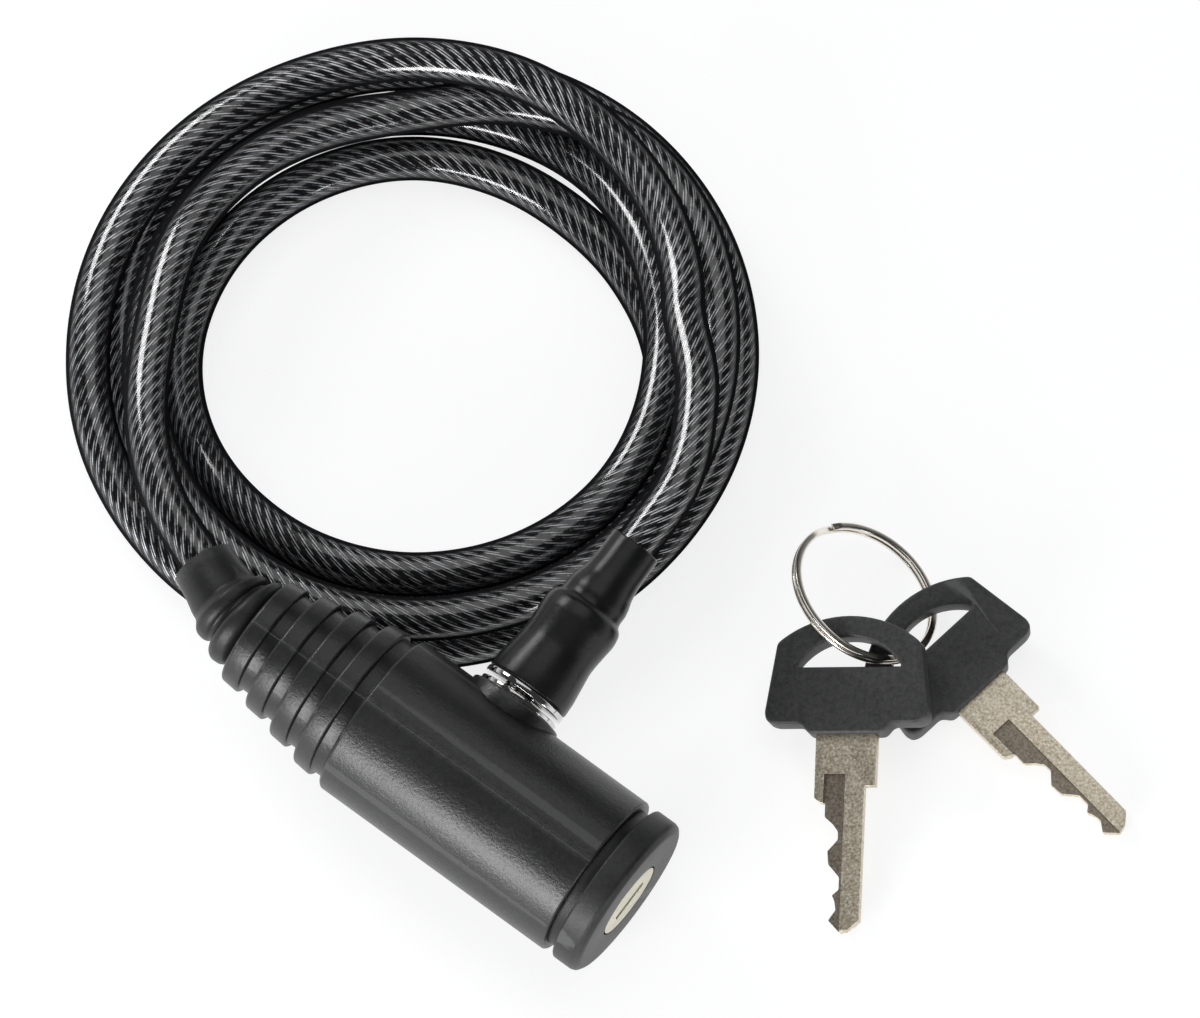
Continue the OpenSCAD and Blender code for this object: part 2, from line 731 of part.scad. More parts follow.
module wire_run(z, a, b, inset) {
    rotate([0, 0, a])
        translate([0, 0, z])
            rotate_extrude(angle = b - a)
                translate([ring_r - wire_w / 2 + inset, 0])
                    square([wire_w - 2 * inset, wire_t]);
}

module key_ring() color("#c4bfb4") laid()
    translate(ring_at)
        rotate([0, 0, ring_low])
            rotate([0, ring_tilt, 0])
                rotate([0, 0, ring_split]) {
                    wire_run(-wire_t, 4, 340, 0);
                    for (i = [1 : rise_steps])
                        wire_run(-wire_t + wire_t * i / (rise_steps + 1), 333 + 6 * i, 340 + 6 * i, 0.015 * i);
                    wire_run(-0.05, 357, 694, 0.06);
                }

cover_bolt_side();
cover_plain_side();
end_cap();
lock_housing();
socket_bush();
strain_relief();
cable_end_in_body();
cable_crimp();
anchor_pin();
retaining_pin();
plug();
wafer_1();
wafer_2();
wafer_3();
wafer_4();
wafer_5();
wafer_springs();
cam();
cam_clip();
ferrule_pin();
ferrule_crimp();
ferrule_boot();
cable_end_in_ferrule();
sheath_coil();
rope_coil();
sheath_tail();
rope_tail();
front_key_blade();
front_key_bow();
rear_key_blade();
rear_key_bow();
key_ring();
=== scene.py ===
"""Looks of the self-coiling cable lock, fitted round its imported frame. Metres, +Z up."""
import math

import bmesh
import bpy
from mathutils import Matrix, Vector


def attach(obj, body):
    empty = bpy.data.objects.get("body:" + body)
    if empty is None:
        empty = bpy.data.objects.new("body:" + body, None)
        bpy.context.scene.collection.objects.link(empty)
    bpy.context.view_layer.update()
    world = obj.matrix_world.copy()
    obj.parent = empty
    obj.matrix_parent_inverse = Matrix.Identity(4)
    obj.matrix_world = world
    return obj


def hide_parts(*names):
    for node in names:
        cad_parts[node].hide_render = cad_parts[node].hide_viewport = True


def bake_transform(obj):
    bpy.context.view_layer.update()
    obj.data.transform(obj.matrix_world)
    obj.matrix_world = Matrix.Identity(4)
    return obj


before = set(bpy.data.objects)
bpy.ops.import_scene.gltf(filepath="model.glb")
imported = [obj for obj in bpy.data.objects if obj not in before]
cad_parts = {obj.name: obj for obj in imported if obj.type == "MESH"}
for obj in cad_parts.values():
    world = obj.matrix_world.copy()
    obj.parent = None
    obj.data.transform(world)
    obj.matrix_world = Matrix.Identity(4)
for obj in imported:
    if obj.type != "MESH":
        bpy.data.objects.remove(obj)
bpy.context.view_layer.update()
MM = 0.001

# Where each moulding lies, in millimetres on the layout. The frame's origin is at ORIGIN on it.
# The lock body: where its barrel starts, then its heading, its dip and the roll of its socket, in degrees.
ORIGIN = Vector((46.6, -78.4, 0))
BODY_AT, HEADING, NOSE_DOWN, BOLT_UP = Vector((-7.7, -77.5, 20.85)), -36.6, 5, 12.8
# Each key: the underside of its bow where the blade starts, then heading, pitch and roll.
FRONT_KEY = ((78.1, -73.9, 5.7), -92.5, 10.7, 12.8)
REAR_KEY = ((100.3, -64.5, 1.83), -46.8, 4.4, 7.3)
RING_AT, RING_LOW, RING_TILT, RING_SPLIT = (80.6, -48.5, 8.26), 21.5, 30.5, 120
# How far along the barrel the ferrule's socket is.
PIN_Z = 20


def turn(axis, degrees):
    return Matrix.Rotation(math.radians(degrees), 4, axis)


def set_down(at, rotation):
    """Millimetres of a piece's own axes to metres in the frame."""
    return Matrix.Scale(MM, 4) @ Matrix.Translation(Vector(at) - ORIGIN) @ rotation


# The body's own +Z, the axis it is turned about, becomes +X before the body is laid down.
AXES = Matrix(((0, 0, 1, 0), (1, 0, 0, 0), (0, 1, 0, 0), (0, 0, 0, 1)))
BODY_TURN = turn("Z", HEADING) @ turn("Y", NOSE_DOWN) @ turn("X", BOLT_UP) @ AXES
IN_BODY = set_down(BODY_AT, BODY_TURN)
ON_BOLT = IN_BODY @ Matrix.Translation((0, 0, PIN_Z)) @ turn("Y", 90)


def in_key(place):
    at, heading, pitch, roll = place
    return set_down(at, turn("Z", heading) @ turn("Y", pitch) @ turn("X", roll))


# ---------------------------------------------------------------- camera and light

TARGET = Vector((-0.0135, 0.0502, 0))
ELEVATION, REACH, VIEW_WIDTH = 66, 5.0, 0.216


def add_camera():
    data = bpy.data.cameras.new("camera")
    data.sensor_width = 36
    data.lens = 36 * REACH / VIEW_WIDTH
    data.clip_start, data.clip_end = 0.05, 40
    eye = bpy.data.objects.new("camera", data)
    tilt = math.radians(ELEVATION)
    eye.location = TARGET + REACH * Vector((0, -math.cos(tilt), math.sin(tilt)))
    eye.rotation_euler = (math.pi / 2 - tilt, 0, 0)
    bpy.context.scene.collection.objects.link(eye)
    bpy.context.scene.camera = eye


# name, direction from the lock, distance, width, height, share of a plain light level
LAMPS = [
    ("front_left_panel", (-0.56, -0.80, 0.21), 0.7, 0.52, 0.30, 1.0),
    ("front_right_panel", (0.49, -0.85, 0.20), 0.7, 0.22, 0.10, 0.10),
    ("back_left_panel", (-0.55, 0.60, 0.58), 0.8, 0.30, 0.26, 0.30),
    ("top_panel", (0.15, 0.30, 1.00), 1.1, 0.90, 0.90, 0.18),
]
LIT_POINT = Vector((-0.01, 0.03, 0.01))
# the even light from all round, and how the white wall fades to a dim ceiling in reflections
FILL, CEILING, WALL_TOP, CEILING_EDGE = 0.27, 0.05, 0.05, 0.35


def add_lamps():
    for name, way, far, wide, high, share in LAMPS:
        lamp = bpy.data.lights.new(name, "AREA")
        lamp.shape, lamp.size, lamp.size_y = "RECTANGLE", wide, high
        lamp.energy = share * math.pi ** 2 * far ** 2
        holder = bpy.data.objects.new(name, lamp)
        holder.location = LIT_POINT + far * Vector(way).normalized()
        holder.rotation_euler = Vector(way).to_track_quat("Z", "Y").to_euler()
        bpy.context.scene.collection.objects.link(holder)


def seen_directly(nodes, links):
    """1 for rays from the camera, a mirror or glass, 0 for the light that falls on things.
    The Light Path node comes with it."""
    path = nodes.new("ShaderNodeLightPath")
    total = path.outputs["Is Camera Ray"]
    for ray in ("Is Glossy Ray", "Is Transmission Ray"):
        either = nodes.new("ShaderNodeMath")
        either.operation = "MAXIMUM"
        links.new(total, either.inputs[0])
        links.new(path.outputs[ray], either.inputs[1])
        total = either.outputs[0]
    return total, path


def add_room():
    """A white background that lights things evenly, and looks dark overhead to a mirror."""
    world = bpy.data.worlds.new("pale_room")
    world.use_nodes = True
    bpy.context.scene.world = world
    nodes, links = world.node_tree.nodes, world.node_tree.links
    nodes.clear()
    out = nodes.new("ShaderNodeOutputWorld")
    lit, wall, ceiling = (nodes.new("ShaderNodeBackground") for _ in range(3))
    lit.inputs["Color"].default_value = (0.9, 0.95, 1, 1)
    lit.inputs["Strength"].default_value = FILL
    wall.inputs["Strength"].default_value = 1
    ceiling.inputs["Strength"].default_value = CEILING
    total, path = seen_directly(nodes, links)
    coords = nodes.new("ShaderNodeTexCoord")
    apart = nodes.new("ShaderNodeSeparateXYZ")
    links.new(coords.outputs["Generated"], apart.inputs[0])
    rise = nodes.new("ShaderNodeMapRange")
    rise.inputs["From Min"].default_value = WALL_TOP
    rise.inputs["From Max"].default_value = CEILING_EDGE
    links.new(apart.outputs["Z"], rise.inputs["Value"])
    dim = nodes.new("ShaderNodeMath")
    dim.operation = "MULTIPLY"
    links.new(rise.outputs["Result"], dim.inputs[0])
    no_eye = nodes.new("ShaderNodeMath")
    no_eye.operation = "SUBTRACT"
    no_eye.inputs[0].default_value = 1
    links.new(path.outputs["Is Camera Ray"], no_eye.inputs[1])
    links.new(no_eye.outputs[0], dim.inputs[1])
    shown, mixed = nodes.new("ShaderNodeMixShader"), nodes.new("ShaderNodeMixShader")
    links.new(dim.outputs[0], shown.inputs[0])
    links.new(wall.outputs[0], shown.inputs[1])
    links.new(ceiling.outputs[0], shown.inputs[2])
    links.new(total, mixed.inputs[0])
    links.new(lit.outputs[0], mixed.inputs[1])
    links.new(shown.outputs[0], mixed.inputs[2])
    links.new(mixed.outputs[0], out.inputs["Surface"])


# half a side of the floor, and its height, a hair below what stands on it
FLOOR_HALF, FLOOR_Z = 2.0, -0.0001


def add_floor():
    """White paper that keeps the object's soft shadow."""
    mesh = bpy.data.meshes.new("table_top")
    corners = [(x * FLOOR_HALF, y * FLOOR_HALF, FLOOR_Z) for x, y in ((-1, -1), (1, -1), (1, 1), (-1, 1))]
    mesh.from_pydata(corners, [], [(0, 1, 2, 3)])
    floor = bpy.data.objects.new("table_top", mesh)
    bpy.context.scene.collection.objects.link(floor)
    paper = bpy.data.materials.new("white_paper")
    paper.use_nodes = True
    nodes, links = paper.node_tree.nodes, paper.node_tree.links
    nodes.clear()
    out, mixed = nodes.new("ShaderNodeOutputMaterial"), nodes.new("ShaderNodeMixShader")
    matt, glow, both = (nodes.new("ShaderNodeBsdfDiffuse"), nodes.new("ShaderNodeEmission"),
                        nodes.new("ShaderNodeAddShader"))
    soft = nodes.new("ShaderNodeBsdfDiffuse")
    matt.inputs["Color"].default_value = (0.82, 0.82, 0.82, 1)
    soft.inputs["Color"].default_value = (0.3, 0.3, 0.3, 1)
    glow.inputs["Strength"].default_value = 0.8
    total, _ = seen_directly(nodes, links)
    links.new(soft.outputs[0], both.inputs[0])
    links.new(glow.outputs[0], both.inputs[1])
    links.new(total, mixed.inputs[0])
    links.new(matt.outputs[0], mixed.inputs[1])
    links.new(both.outputs[0], mixed.inputs[2])
    links.new(mixed.outputs[0], out.inputs["Surface"])
    mesh.materials.append(paper)


# ---------------------------------------------------------------- shared surface effects

def effect(name, inputs, outputs):
    """An empty shader group with named sockets, and its own input and output nodes."""
    tree = bpy.data.node_groups.new(name, "ShaderNodeTree")
    for label, kind, value in inputs:
        socket = tree.interface.new_socket(label, in_out="INPUT", socket_type="NodeSocket" + kind)
        socket.default_value = value
    for label, kind in outputs:
        tree.interface.new_socket(label, in_out="OUTPUT", socket_type="NodeSocket" + kind)
    return tree, tree.nodes.new("NodeGroupInput"), tree.nodes.new("NodeGroupOutput")


def maths(tree, kind, a, b=None):
    """One sum on sockets or numbers; gives its result's socket."""
    node = tree.nodes.new("ShaderNodeMath")
    node.operation = kind
    for i, value in enumerate((a, b)):
        if value is None:
            continue
        if isinstance(value, (int, float)):
            node.inputs[i].default_value = value
        else:
            tree.links.new(value, node.inputs[i])
    return node.outputs[0]


def noise(tree, where, scale, detail=3, rough=0.55):
    node = tree.nodes.new("ShaderNodeTexNoise")
    node.inputs["Detail"].default_value = detail
    node.inputs["Roughness"].default_value = rough
    tree.links.new(where, node.inputs["Vector"])
    if isinstance(scale, (int, float)):
        node.inputs["Scale"].default_value = scale
    else:
        tree.links.new(scale, node.inputs["Scale"])
    return node.outputs["Fac"]


def own_place(tree):
    return tree.nodes.new("ShaderNodeTexCoord").outputs["Object"]


def make_grain():
    """Fine pits and specks of a moulded or cast skin."""
    tree, given, gives = effect(
        "skin_grain", [("Pits per metre", "Float", 1500), ("Coarse", "Float", 0.4)],
        [("Height", "Float"), ("Speck", "Float")])
    where = own_place(tree)
    fine = noise(tree, where, given.outputs["Pits per metre"], 2, 0.6)
    slow = noise(tree, where, maths(tree, "MULTIPLY", given.outputs["Pits per metre"], 0.22), 3, 0.6)
    height = maths(tree, "ADD", fine, maths(tree, "MULTIPLY", slow, given.outputs["Coarse"]))
    tree.links.new(height, gives.inputs["Height"])
    speck = maths(tree, "POWER", fine, 4)
    tree.links.new(maths(tree, "MULTIPLY", speck, 3), gives.inputs["Speck"])
    return tree


def make_tone():
    """Slow drift between two tones of one colour, with the gloss that goes with it."""
    tree, given, gives = effect(
        "tone_drift",
        [("First tone", "Color", (0.1, 0.1, 0.1, 1)), ("Second tone", "Color", (0.2, 0.2, 0.2, 1)),
         ("Patches per metre", "Float", 60), ("Gloss change", "Float", 0.1)],
        [("Color", "Color"), ("Gloss shift", "Float")])
    where = own_place(tree)
    patch = noise(tree, where, given.outputs["Patches per metre"], 4, 0.6)
    share = tree.nodes.new("ShaderNodeMapRange")
    share.inputs["From Min"].default_value = 0.3
    share.inputs["From Max"].default_value = 0.7
    tree.links.new(patch, share.inputs["Value"])
    mix = tree.nodes.new("ShaderNodeMix")
    mix.data_type = "RGBA"
    tree.links.new(share.outputs["Result"], mix.inputs["Factor"])
    tree.links.new(given.outputs["First tone"], mix.inputs["A"])
    tree.links.new(given.outputs["Second tone"], mix.inputs["B"])
    tree.links.new(mix.outputs["Result"], gives.inputs["Color"])
    shift = maths(tree, "MULTIPLY", maths(tree, "SUBTRACT", patch, 0.5), given.outputs["Gloss change"])
    tree.links.new(shift, gives.inputs["Gloss shift"])
    return tree


def make_edge_wear_and_highlight():
    """Lighter sharp edges, partly rubbed wear and partly a painted highlight: 1 on a sharp outside edge, 0 on
    the flat.
    """
    tree, given, gives = effect("rubbed_and_highlit_edge", [("Reach", "Float", 0.06)], [("Edge", "Float")])
    geometry = tree.nodes.new("ShaderNodeNewGeometry")
    over = maths(tree, "SUBTRACT", geometry.outputs["Pointiness"], 0.5)
    edge = maths(tree, "DIVIDE", over, given.outputs["Reach"])
    broken = maths(tree, "MULTIPLY", noise(tree, own_place(tree), 900, 3), 1.6)
    clear = tree.nodes.new("ShaderNodeClamp")
    tree.links.new(maths(tree, "MULTIPLY", edge, broken), clear.inputs["Value"])
    tree.links.new(clear.outputs[0], gives.inputs["Edge"])
    return tree


GRAIN, TONE, EDGE_WEAR_AND_HIGHLIGHT = make_grain(), make_tone(), make_edge_wear_and_highlight()


def placed(tree, group, **values):
    """A shared effect set in a material; an underscore in a value's name stands for a space."""
    node = tree.nodes.new("ShaderNodeGroup")
    node.node_tree = group
    for label, value in values.items():
        node.inputs[label.replace("_", " ")].default_value = value
    return node


def finish(name, tones, rough, metallic=0, pits=1500, coarse=0.4, depth=0.02, patches=60, gloss=0.1,
           edge_wear_and_highlight=None, specular=0.5):
    """A material that drifts between two tones, with skin grain of a depth in millimetres.
    With an edge colour given, its sharp edges are lightened to it, partly as wear and partly as a painted
    highlight."""
    material = bpy.data.materials.new(name)
    material.use_nodes = True
    tree = material.node_tree
    surface = tree.nodes["Principled BSDF"]
    surface.inputs["Metallic"].default_value = metallic
    surface.inputs["Specular IOR Level"].default_value = specular
    tone = placed(tree, TONE, First_tone=(*tones[0], 1), Second_tone=(*tones[1], 1),
                  Patches_per_metre=patches, Gloss_change=gloss)
    grain = placed(tree, GRAIN, Pits_per_metre=pits, Coarse=coarse)
    colour = tone.outputs["Color"]
    # sharp edges lightened: partly wear, partly a painted highlight
    if edge_wear_and_highlight:
        worn_and_highlit = placed(tree, EDGE_WEAR_AND_HIGHLIGHT)
        mix = tree.nodes.new("ShaderNodeMix")
        mix.data_type = "RGBA"
        mix.inputs["B"].default_value = (*edge_wear_and_highlight, 1)
        tree.links.new(worn_and_highlit.outputs["Edge"], mix.inputs["Factor"])
        tree.links.new(colour, mix.inputs["A"])
        colour = mix.outputs["Result"]
    tree.links.new(colour, surface.inputs["Base Color"])
    shine = maths(tree, "ADD", tone.outputs["Gloss shift"], rough)
    shine = maths(tree, "ADD", shine, maths(tree, "MULTIPLY", grain.outputs["Speck"], 0.06))
    tree.links.new(shine, surface.inputs["Roughness"])
    bump = tree.nodes.new("ShaderNodeBump")
    bump.inputs["Distance"].default_value = depth * MM
    tree.links.new(grain.outputs["Height"], bump.inputs["Height"])
    tree.links.new(bump.outputs[0], surface.inputs["Normal"])
    return material


def grey(value):
    return (value, value, value)


# each edge colour below lightens sharp edges: partly wear, partly a painted highlight
cover_black = finish("cover_black", (grey(0.007), grey(0.012)), 0.34, pits=1700, coarse=0.7, depth=0.06,
                     patches=90, gloss=0.10, edge_wear_and_highlight=grey(0.05), specular=0.55)
cap_black = finish("cap_black", (grey(0.010), grey(0.018)), 0.42, pits=2200, depth=0.035, patches=140,
                   edge_wear_and_highlight=grey(0.08), specular=0.32)
relief_black = finish("relief_black", (grey(0.008), grey(0.013)), 0.40, pits=1500, depth=0.04, edge_wear_and_highlight=grey(0.04),
                      specular=0.35)
boot_black = finish("boot_black", (grey(0.006), grey(0.011)), 0.30, pits=1200, coarse=0.8, depth=0.03,
                    patches=120, gloss=0.12, specular=0.4)
cable_solid = finish("cable_solid", (grey(0.006), grey(0.010)), 0.3, depth=0.01)
core_zinc = finish("core_zinc", ((0.42, 0.41, 0.39), (0.50, 0.49, 0.47)), 0.45, 1, pits=1100, depth=0.03)
bright_chrome = finish("bright_chrome", ((0.62, 0.62, 0.63), (0.72, 0.71, 0.69)), 0.08, 1, pits=2500,
                       depth=0.004, gloss=0.05)
crimp_steel = finish("crimp_steel", ((0.40, 0.40, 0.41), (0.50, 0.50, 0.50)), 0.38, 1, depth=0.02)
pin_steel = finish("pin_steel", ((0.50, 0.50, 0.51), (0.60, 0.60, 0.60)), 0.25, 1, depth=0.008)
plug_brass = finish("plug_brass", ((0.66, 0.62, 0.46), (0.80, 0.77, 0.64)), 0.36, 0.55, pits=1300, coarse=0.9,
                    depth=0.03, patches=260, gloss=0.2)
wafer_brass = finish("wafer_brass", ((0.60, 0.47, 0.22), (0.70, 0.56, 0.28)), 0.35, 1, depth=0.01)
spring_steel = finish("spring_steel", ((0.50, 0.50, 0.50), (0.62, 0.62, 0.62)), 0.25, 1, depth=0.006)
cam_steel = finish("cam_steel", ((0.40, 0.40, 0.38), (0.52, 0.51, 0.48)), 0.4, 1, depth=0.02)
key_nickel = finish("key_nickel", ((0.38, 0.29, 0.18), (1.00, 0.94, 0.79)), 0.36, 0.8, pits=1500, coarse=1.0,
                    depth=0.035, patches=2100, gloss=0.3)
key_milled = finish("key_milled", ((0.16, 0.13, 0.10), (0.42, 0.37, 0.30)), 0.40, 0.8, pits=1500, coarse=1.0,
                    depth=0.02, patches=2100, gloss=0.2)
bow_charcoal = finish("bow_charcoal", (grey(0.006), grey(0.040)), 0.46, pits=1900, coarse=0.8, depth=0.06,
                      patches=1900, edge_wear_and_highlight=grey(0.12), specular=0.35)
ring_nickel = finish("ring_nickel", ((0.80, 0.76, 0.69), (0.92, 0.88, 0.80)), 0.20, 1, pits=2500, depth=0.005)


def make_sheath():
    """Clear smoked plastic; light passes on to the rope inside as through a thin tint."""
    material = bpy.data.materials.new("clear_sheath")
    material.use_nodes = True
    tree = material.node_tree
    plastic, out = tree.nodes["Principled BSDF"], tree.nodes["Material Output"]
    plastic.inputs["Transmission Weight"].default_value = 1
    plastic.inputs["IOR"].default_value = 1.46
    plastic.inputs["Specular IOR Level"].default_value = 1
    plastic.inputs["Coat Weight"].default_value = 1
    plastic.inputs["Coat IOR"].default_value = 1.65
    plastic.inputs["Coat Roughness"].default_value = 0.14
    tone = placed(tree, TONE, First_tone=(0.62, 0.63, 0.64, 1), Second_tone=(0.78, 0.79, 0.80, 1),
                  Patches_per_metre=40, Gloss_change=0.05)
    tree.links.new(tone.outputs["Color"], plastic.inputs["Base Color"])
    tree.links.new(maths(tree, "ADD", tone.outputs["Gloss shift"], 0.17), plastic.inputs["Roughness"])
    grain = placed(tree, GRAIN, Pits_per_metre=160, Coarse=1)
    bump = tree.nodes.new("ShaderNodeBump")
    bump.inputs["Distance"].default_value = 0.03 * MM
    tree.links.new(grain.outputs["Height"], bump.inputs["Height"])
    tree.links.new(bump.outputs[0], plastic.inputs["Normal"])
    path, thin, mixed = (tree.nodes.new("ShaderNodeLightPath"), tree.nodes.new("ShaderNodeBsdfTransparent"),
                         tree.nodes.new("ShaderNodeMixShader"))
    thin.inputs["Color"].default_value = (0.85, 0.86, 0.88, 1)
    # painted shade: where the wall is seen at a slant it turns to a near-black diffuse, darkening the sheath
    # towards its edges
    slant, edge_shade_share = tree.nodes.new("ShaderNodeLayerWeight"), tree.nodes.new("ShaderNodeMapRange")
    painted_edge_shade, edge_shaded = tree.nodes.new("ShaderNodeBsdfDiffuse"), tree.nodes.new("ShaderNodeMixShader")
    slant.inputs["Blend"].default_value = 0.5
    edge_shade_share.inputs["From Min"].default_value = 0.2
    edge_shade_share.inputs["From Max"].default_value = 0.52
    # the near-black colour of the painted edge shade
    painted_edge_shade.inputs["Color"].default_value = (0.012, 0.012, 0.013, 1)
    tree.links.new(slant.outputs["Facing"], edge_shade_share.inputs["Value"])
    tree.links.new(edge_shade_share.outputs["Result"], edge_shaded.inputs[0])
    tree.links.new(plastic.outputs[0], edge_shaded.inputs[1])
    tree.links.new(painted_edge_shade.outputs[0], edge_shaded.inputs[2])
    tree.links.new(path.outputs["Is Shadow Ray"], mixed.inputs[0])
    tree.links.new(edge_shaded.outputs[0], mixed.inputs[1])
    tree.links.new(thin.outputs[0], mixed.inputs[2])
    tree.links.new(mixed.outputs[0], out.inputs["Surface"])
    return material


# wires across one strand, and how many of them a strand's wires drift over in a millimetre of cable
WIRES_PER_STRAND, WIRE_DRIFT = 4, -0.5


def make_rope():
    """Steel strands: fine wires that cross each strand at a slant, with a painted highlight along the wires'
    crests and painted shade in the gaps between them.
    """
    material = bpy.data.materials.new("rope_steel")
    material.use_nodes = True
    tree = material.node_tree
    steel = tree.nodes["Principled BSDF"]
    steel.inputs["Metallic"].default_value = 0.6
    uv = tree.nodes.new("ShaderNodeUVMap")
    uv.uv_map = "lay"
    apart = tree.nodes.new("ShaderNodeSeparateXYZ")
    tree.links.new(uv.outputs[0], apart.inputs[0])
    slant = maths(tree, "ADD", maths(tree, "MULTIPLY", apart.outputs["X"], WIRES_PER_STRAND),
                  maths(tree, "MULTIPLY", apart.outputs["Y"], WIRE_DRIFT))
    wire = maths(tree, "ABSOLUTE", maths(tree, "SINE", maths(tree, "MULTIPLY", slant, math.pi)))
    strand = maths(tree, "ABSOLUTE", maths(tree, "SINE", maths(tree, "MULTIPLY", apart.outputs["X"], math.pi)))
    # painted light and shade: bright along each wire's crest, near black between wires and strands
    crest_highlight_gap_shade = maths(tree, "MULTIPLY", maths(tree, "POWER", wire, 2.2), maths(tree, "POWER", strand, 1.2))
    uneven = maths(tree, "MULTIPLY", noise(tree, own_place(tree), 620, 3, 0.75),
                   maths(tree, "ADD", noise(tree, own_place(tree), 90, 2), 0.5))
    shade = tree.nodes.new("ShaderNodeMapRange")
    shade.inputs["From Min"].default_value = 0.22
    shade.inputs["From Max"].default_value = 0.37
    tree.links.new(maths(tree, "MULTIPLY", crest_highlight_gap_shade, uneven), shade.inputs["Value"])
    mix = tree.nodes.new("ShaderNodeMix")
    mix.data_type = "RGBA"
    # A is the painted shade in the gaps, B the painted highlight on the crests
    mix.inputs["A"].default_value = (0.004, 0.004, 0.005, 1)
    mix.inputs["B"].default_value = (0.92, 0.93, 0.94, 1)
    tree.links.new(shade.outputs["Result"], mix.inputs["Factor"])
    tree.links.new(mix.outputs["Result"], steel.inputs["Base Color"])
    tree.links.new(maths(tree, "ADD", maths(tree, "MULTIPLY", uneven, 0.2), 0.22), steel.inputs["Roughness"])
    bump = tree.nodes.new("ShaderNodeBump")
    bump.inputs["Distance"].default_value = 0.12 * MM
    tree.links.new(wire, bump.inputs["Height"])
    tree.links.new(bump.outputs[0], steel.inputs["Normal"])
    return material


clear_sheath, rope_steel = make_sheath(), make_rope()

# ---------------------------------------------------------------- the cable's route

# The middle of the cable round the coil: degrees turned, radius and height. Each list is one turn, from the
# lock body's strain relief down to the lowest turns and up again to the ferrule.
TURN_0 = [(0, 46.4, 21.6), (22.5, 45, 20.2), (45, 44, 17.8), (67.5, 43.6, 15), (90, 44.8, 13.2),
          (112.5, 49.5, 13.4), (135, 53.9, 13.9), (157.5, 55, 13), (180, 54.4, 12.5), (225, 55, 12.5),
          (270, 55.4, 12.6), (315, 53.4, 12.8), (337.5, 51.2, 12.7)]
TURN_1 = [(0, 48.8, 11.8), (22.5, 48, 10.6), (45, 48.2, 8), (67.5, 48.4, 5.2), (90, 48.4, 4),
          (112.5, 48.2, 4.6), (135, 47, 8.4), (157.5, 45.4, 11.9), (180, 44.9, 12.6), (225, 46.4, 12.5),
          (270, 46.6, 12.5), (292.5, 46, 12), (315, 44.6, 10), (337.5, 43.4, 7)]
TURN_2 = [(0, 42.4, 4.8), (22.5, 41.2, 4), (45, 40.2, 4), (67.5, 39.6, 4), (90, 39.4, 4), (112.5, 39, 4),
          (135, 39.4, 4), (157.5, 41.6, 4), (180, 44.8, 4), (202.5, 47, 4), (225, 48.2, 4), (270, 48.6, 4),
          (315, 50.6, 4), (337.5, 51.8, 4)]
TURN_3 = [(0, 53, 4), (22.5, 55, 4), (45, 56.8, 4), (67.5, 57.4, 4), (90, 57.4, 4), (135, 58.2, 4),
          (180, 57.8, 4), (225, 57.2, 4), (270, 57.4, 4), (292.5, 58.4, 4.4), (315, 59.6, 5.8),
          (337.5, 60, 8.2)]
TURN_4 = [(0, 59, 10.6), (22.5, 57.6, 12.2), (45, 55.8, 13.8), (67.5, 53.8, 16), (90, 52.2, 19),
          (112.5, 50.4, 22.4), (135, 48.6, 24.8), (180, 48, 28.6), (202.5, 54.6, 32)]
# degrees turned where the stretch that follows the ferrule begins
SPLIT_TURNED = 4 * 360 + 135
CABLE_D, ROPE_D = 8, 5
# the strain relief's bend, its straight end, and where the bend starts; then the ferrule's own lengths
BEND_R, RELIEF_BEND, RELIEF_TURN, STUB_LEN, RELIEF_Z = 26, 22.9, -24.7, 6.7, -24.73
FLANGE_X, BOOT_X, BOOT_END = 18.4, 19.6, 52.3

FROM_BODY = Matrix.Translation(BODY_AT) @ BODY_TURN
bend = math.radians(RELIEF_BEND)
relief_way = turn("Z", RELIEF_TURN) @ Vector((math.sin(bend), 0, -math.cos(bend)))
relief_out = (BODY_TURN.to_3x3() @ relief_way).normalized()
relief_mouth = FROM_BODY @ (turn("Z", RELIEF_TURN) @ Vector((
    BEND_R * (1 - math.cos(bend)) + STUB_LEN * math.sin(bend), 0,
    RELIEF_Z - BEND_R * math.sin(bend) - STUB_LEN * math.cos(bend))))
boot_out = (BODY_TURN.to_3x3() @ Vector((1, 0, 0))).normalized()
boot_mouth = FROM_BODY @ Vector((BOOT_END, 0, PIN_Z))


def turned(p):
    """Degrees turned round the coil at a point."""
    return 180 - math.degrees(math.atan2(p.y, p.x))


def end_station(p, t):
    return (t, math.hypot(p.x, p.y), p.z)


coil_start, coil_end = relief_mouth + CABLE_D * relief_out, boot_mouth + CABLE_D * boot_out
stations = [end_station(coil_start, turned(coil_start) - 360)]
for lap, listed in enumerate((TURN_0, TURN_1, TURN_2, TURN_3, TURN_4)):
    stations += [(t + 360 * lap, r, z) for t, r, z in listed]
stations.append(end_station(coil_end, turned(coil_end) + 4 * 360))


def run_slope(p, way):
    """Change of radius and height per degree turned, for a run along way through p."""
    r = math.hypot(p.x, p.y)
    per_degree = math.radians(r) / ((way.x * p.y - way.y * p.x) / r)
    return ((way.x * p.x + way.y * p.y) / r * per_degree, way.z * per_degree)


def eased(before, after, h0, h1):
    """The slope where two runs meet: level at a peak or a dip, otherwise between theirs."""
    return 0 if before * after <= 0 else (before * h1 + after * h0) / (h0 + h1)


def chord(k, i):
    return (stations[k + 1][i] - stations[k][i]) / (stations[k + 1][0] - stations[k][0])


def slope_at(k):
    if k == 0:
        return run_slope(coil_start, relief_out)
    if k == len(stations) - 1:
        return run_slope(coil_end, -boot_out)
    h0, h1 = stations[k][0] - stations[k - 1][0], stations[k + 1][0] - stations[k][0]
    return tuple(eased(chord(k - 1, i), chord(k, i), h0, h1) for i in (1, 2))


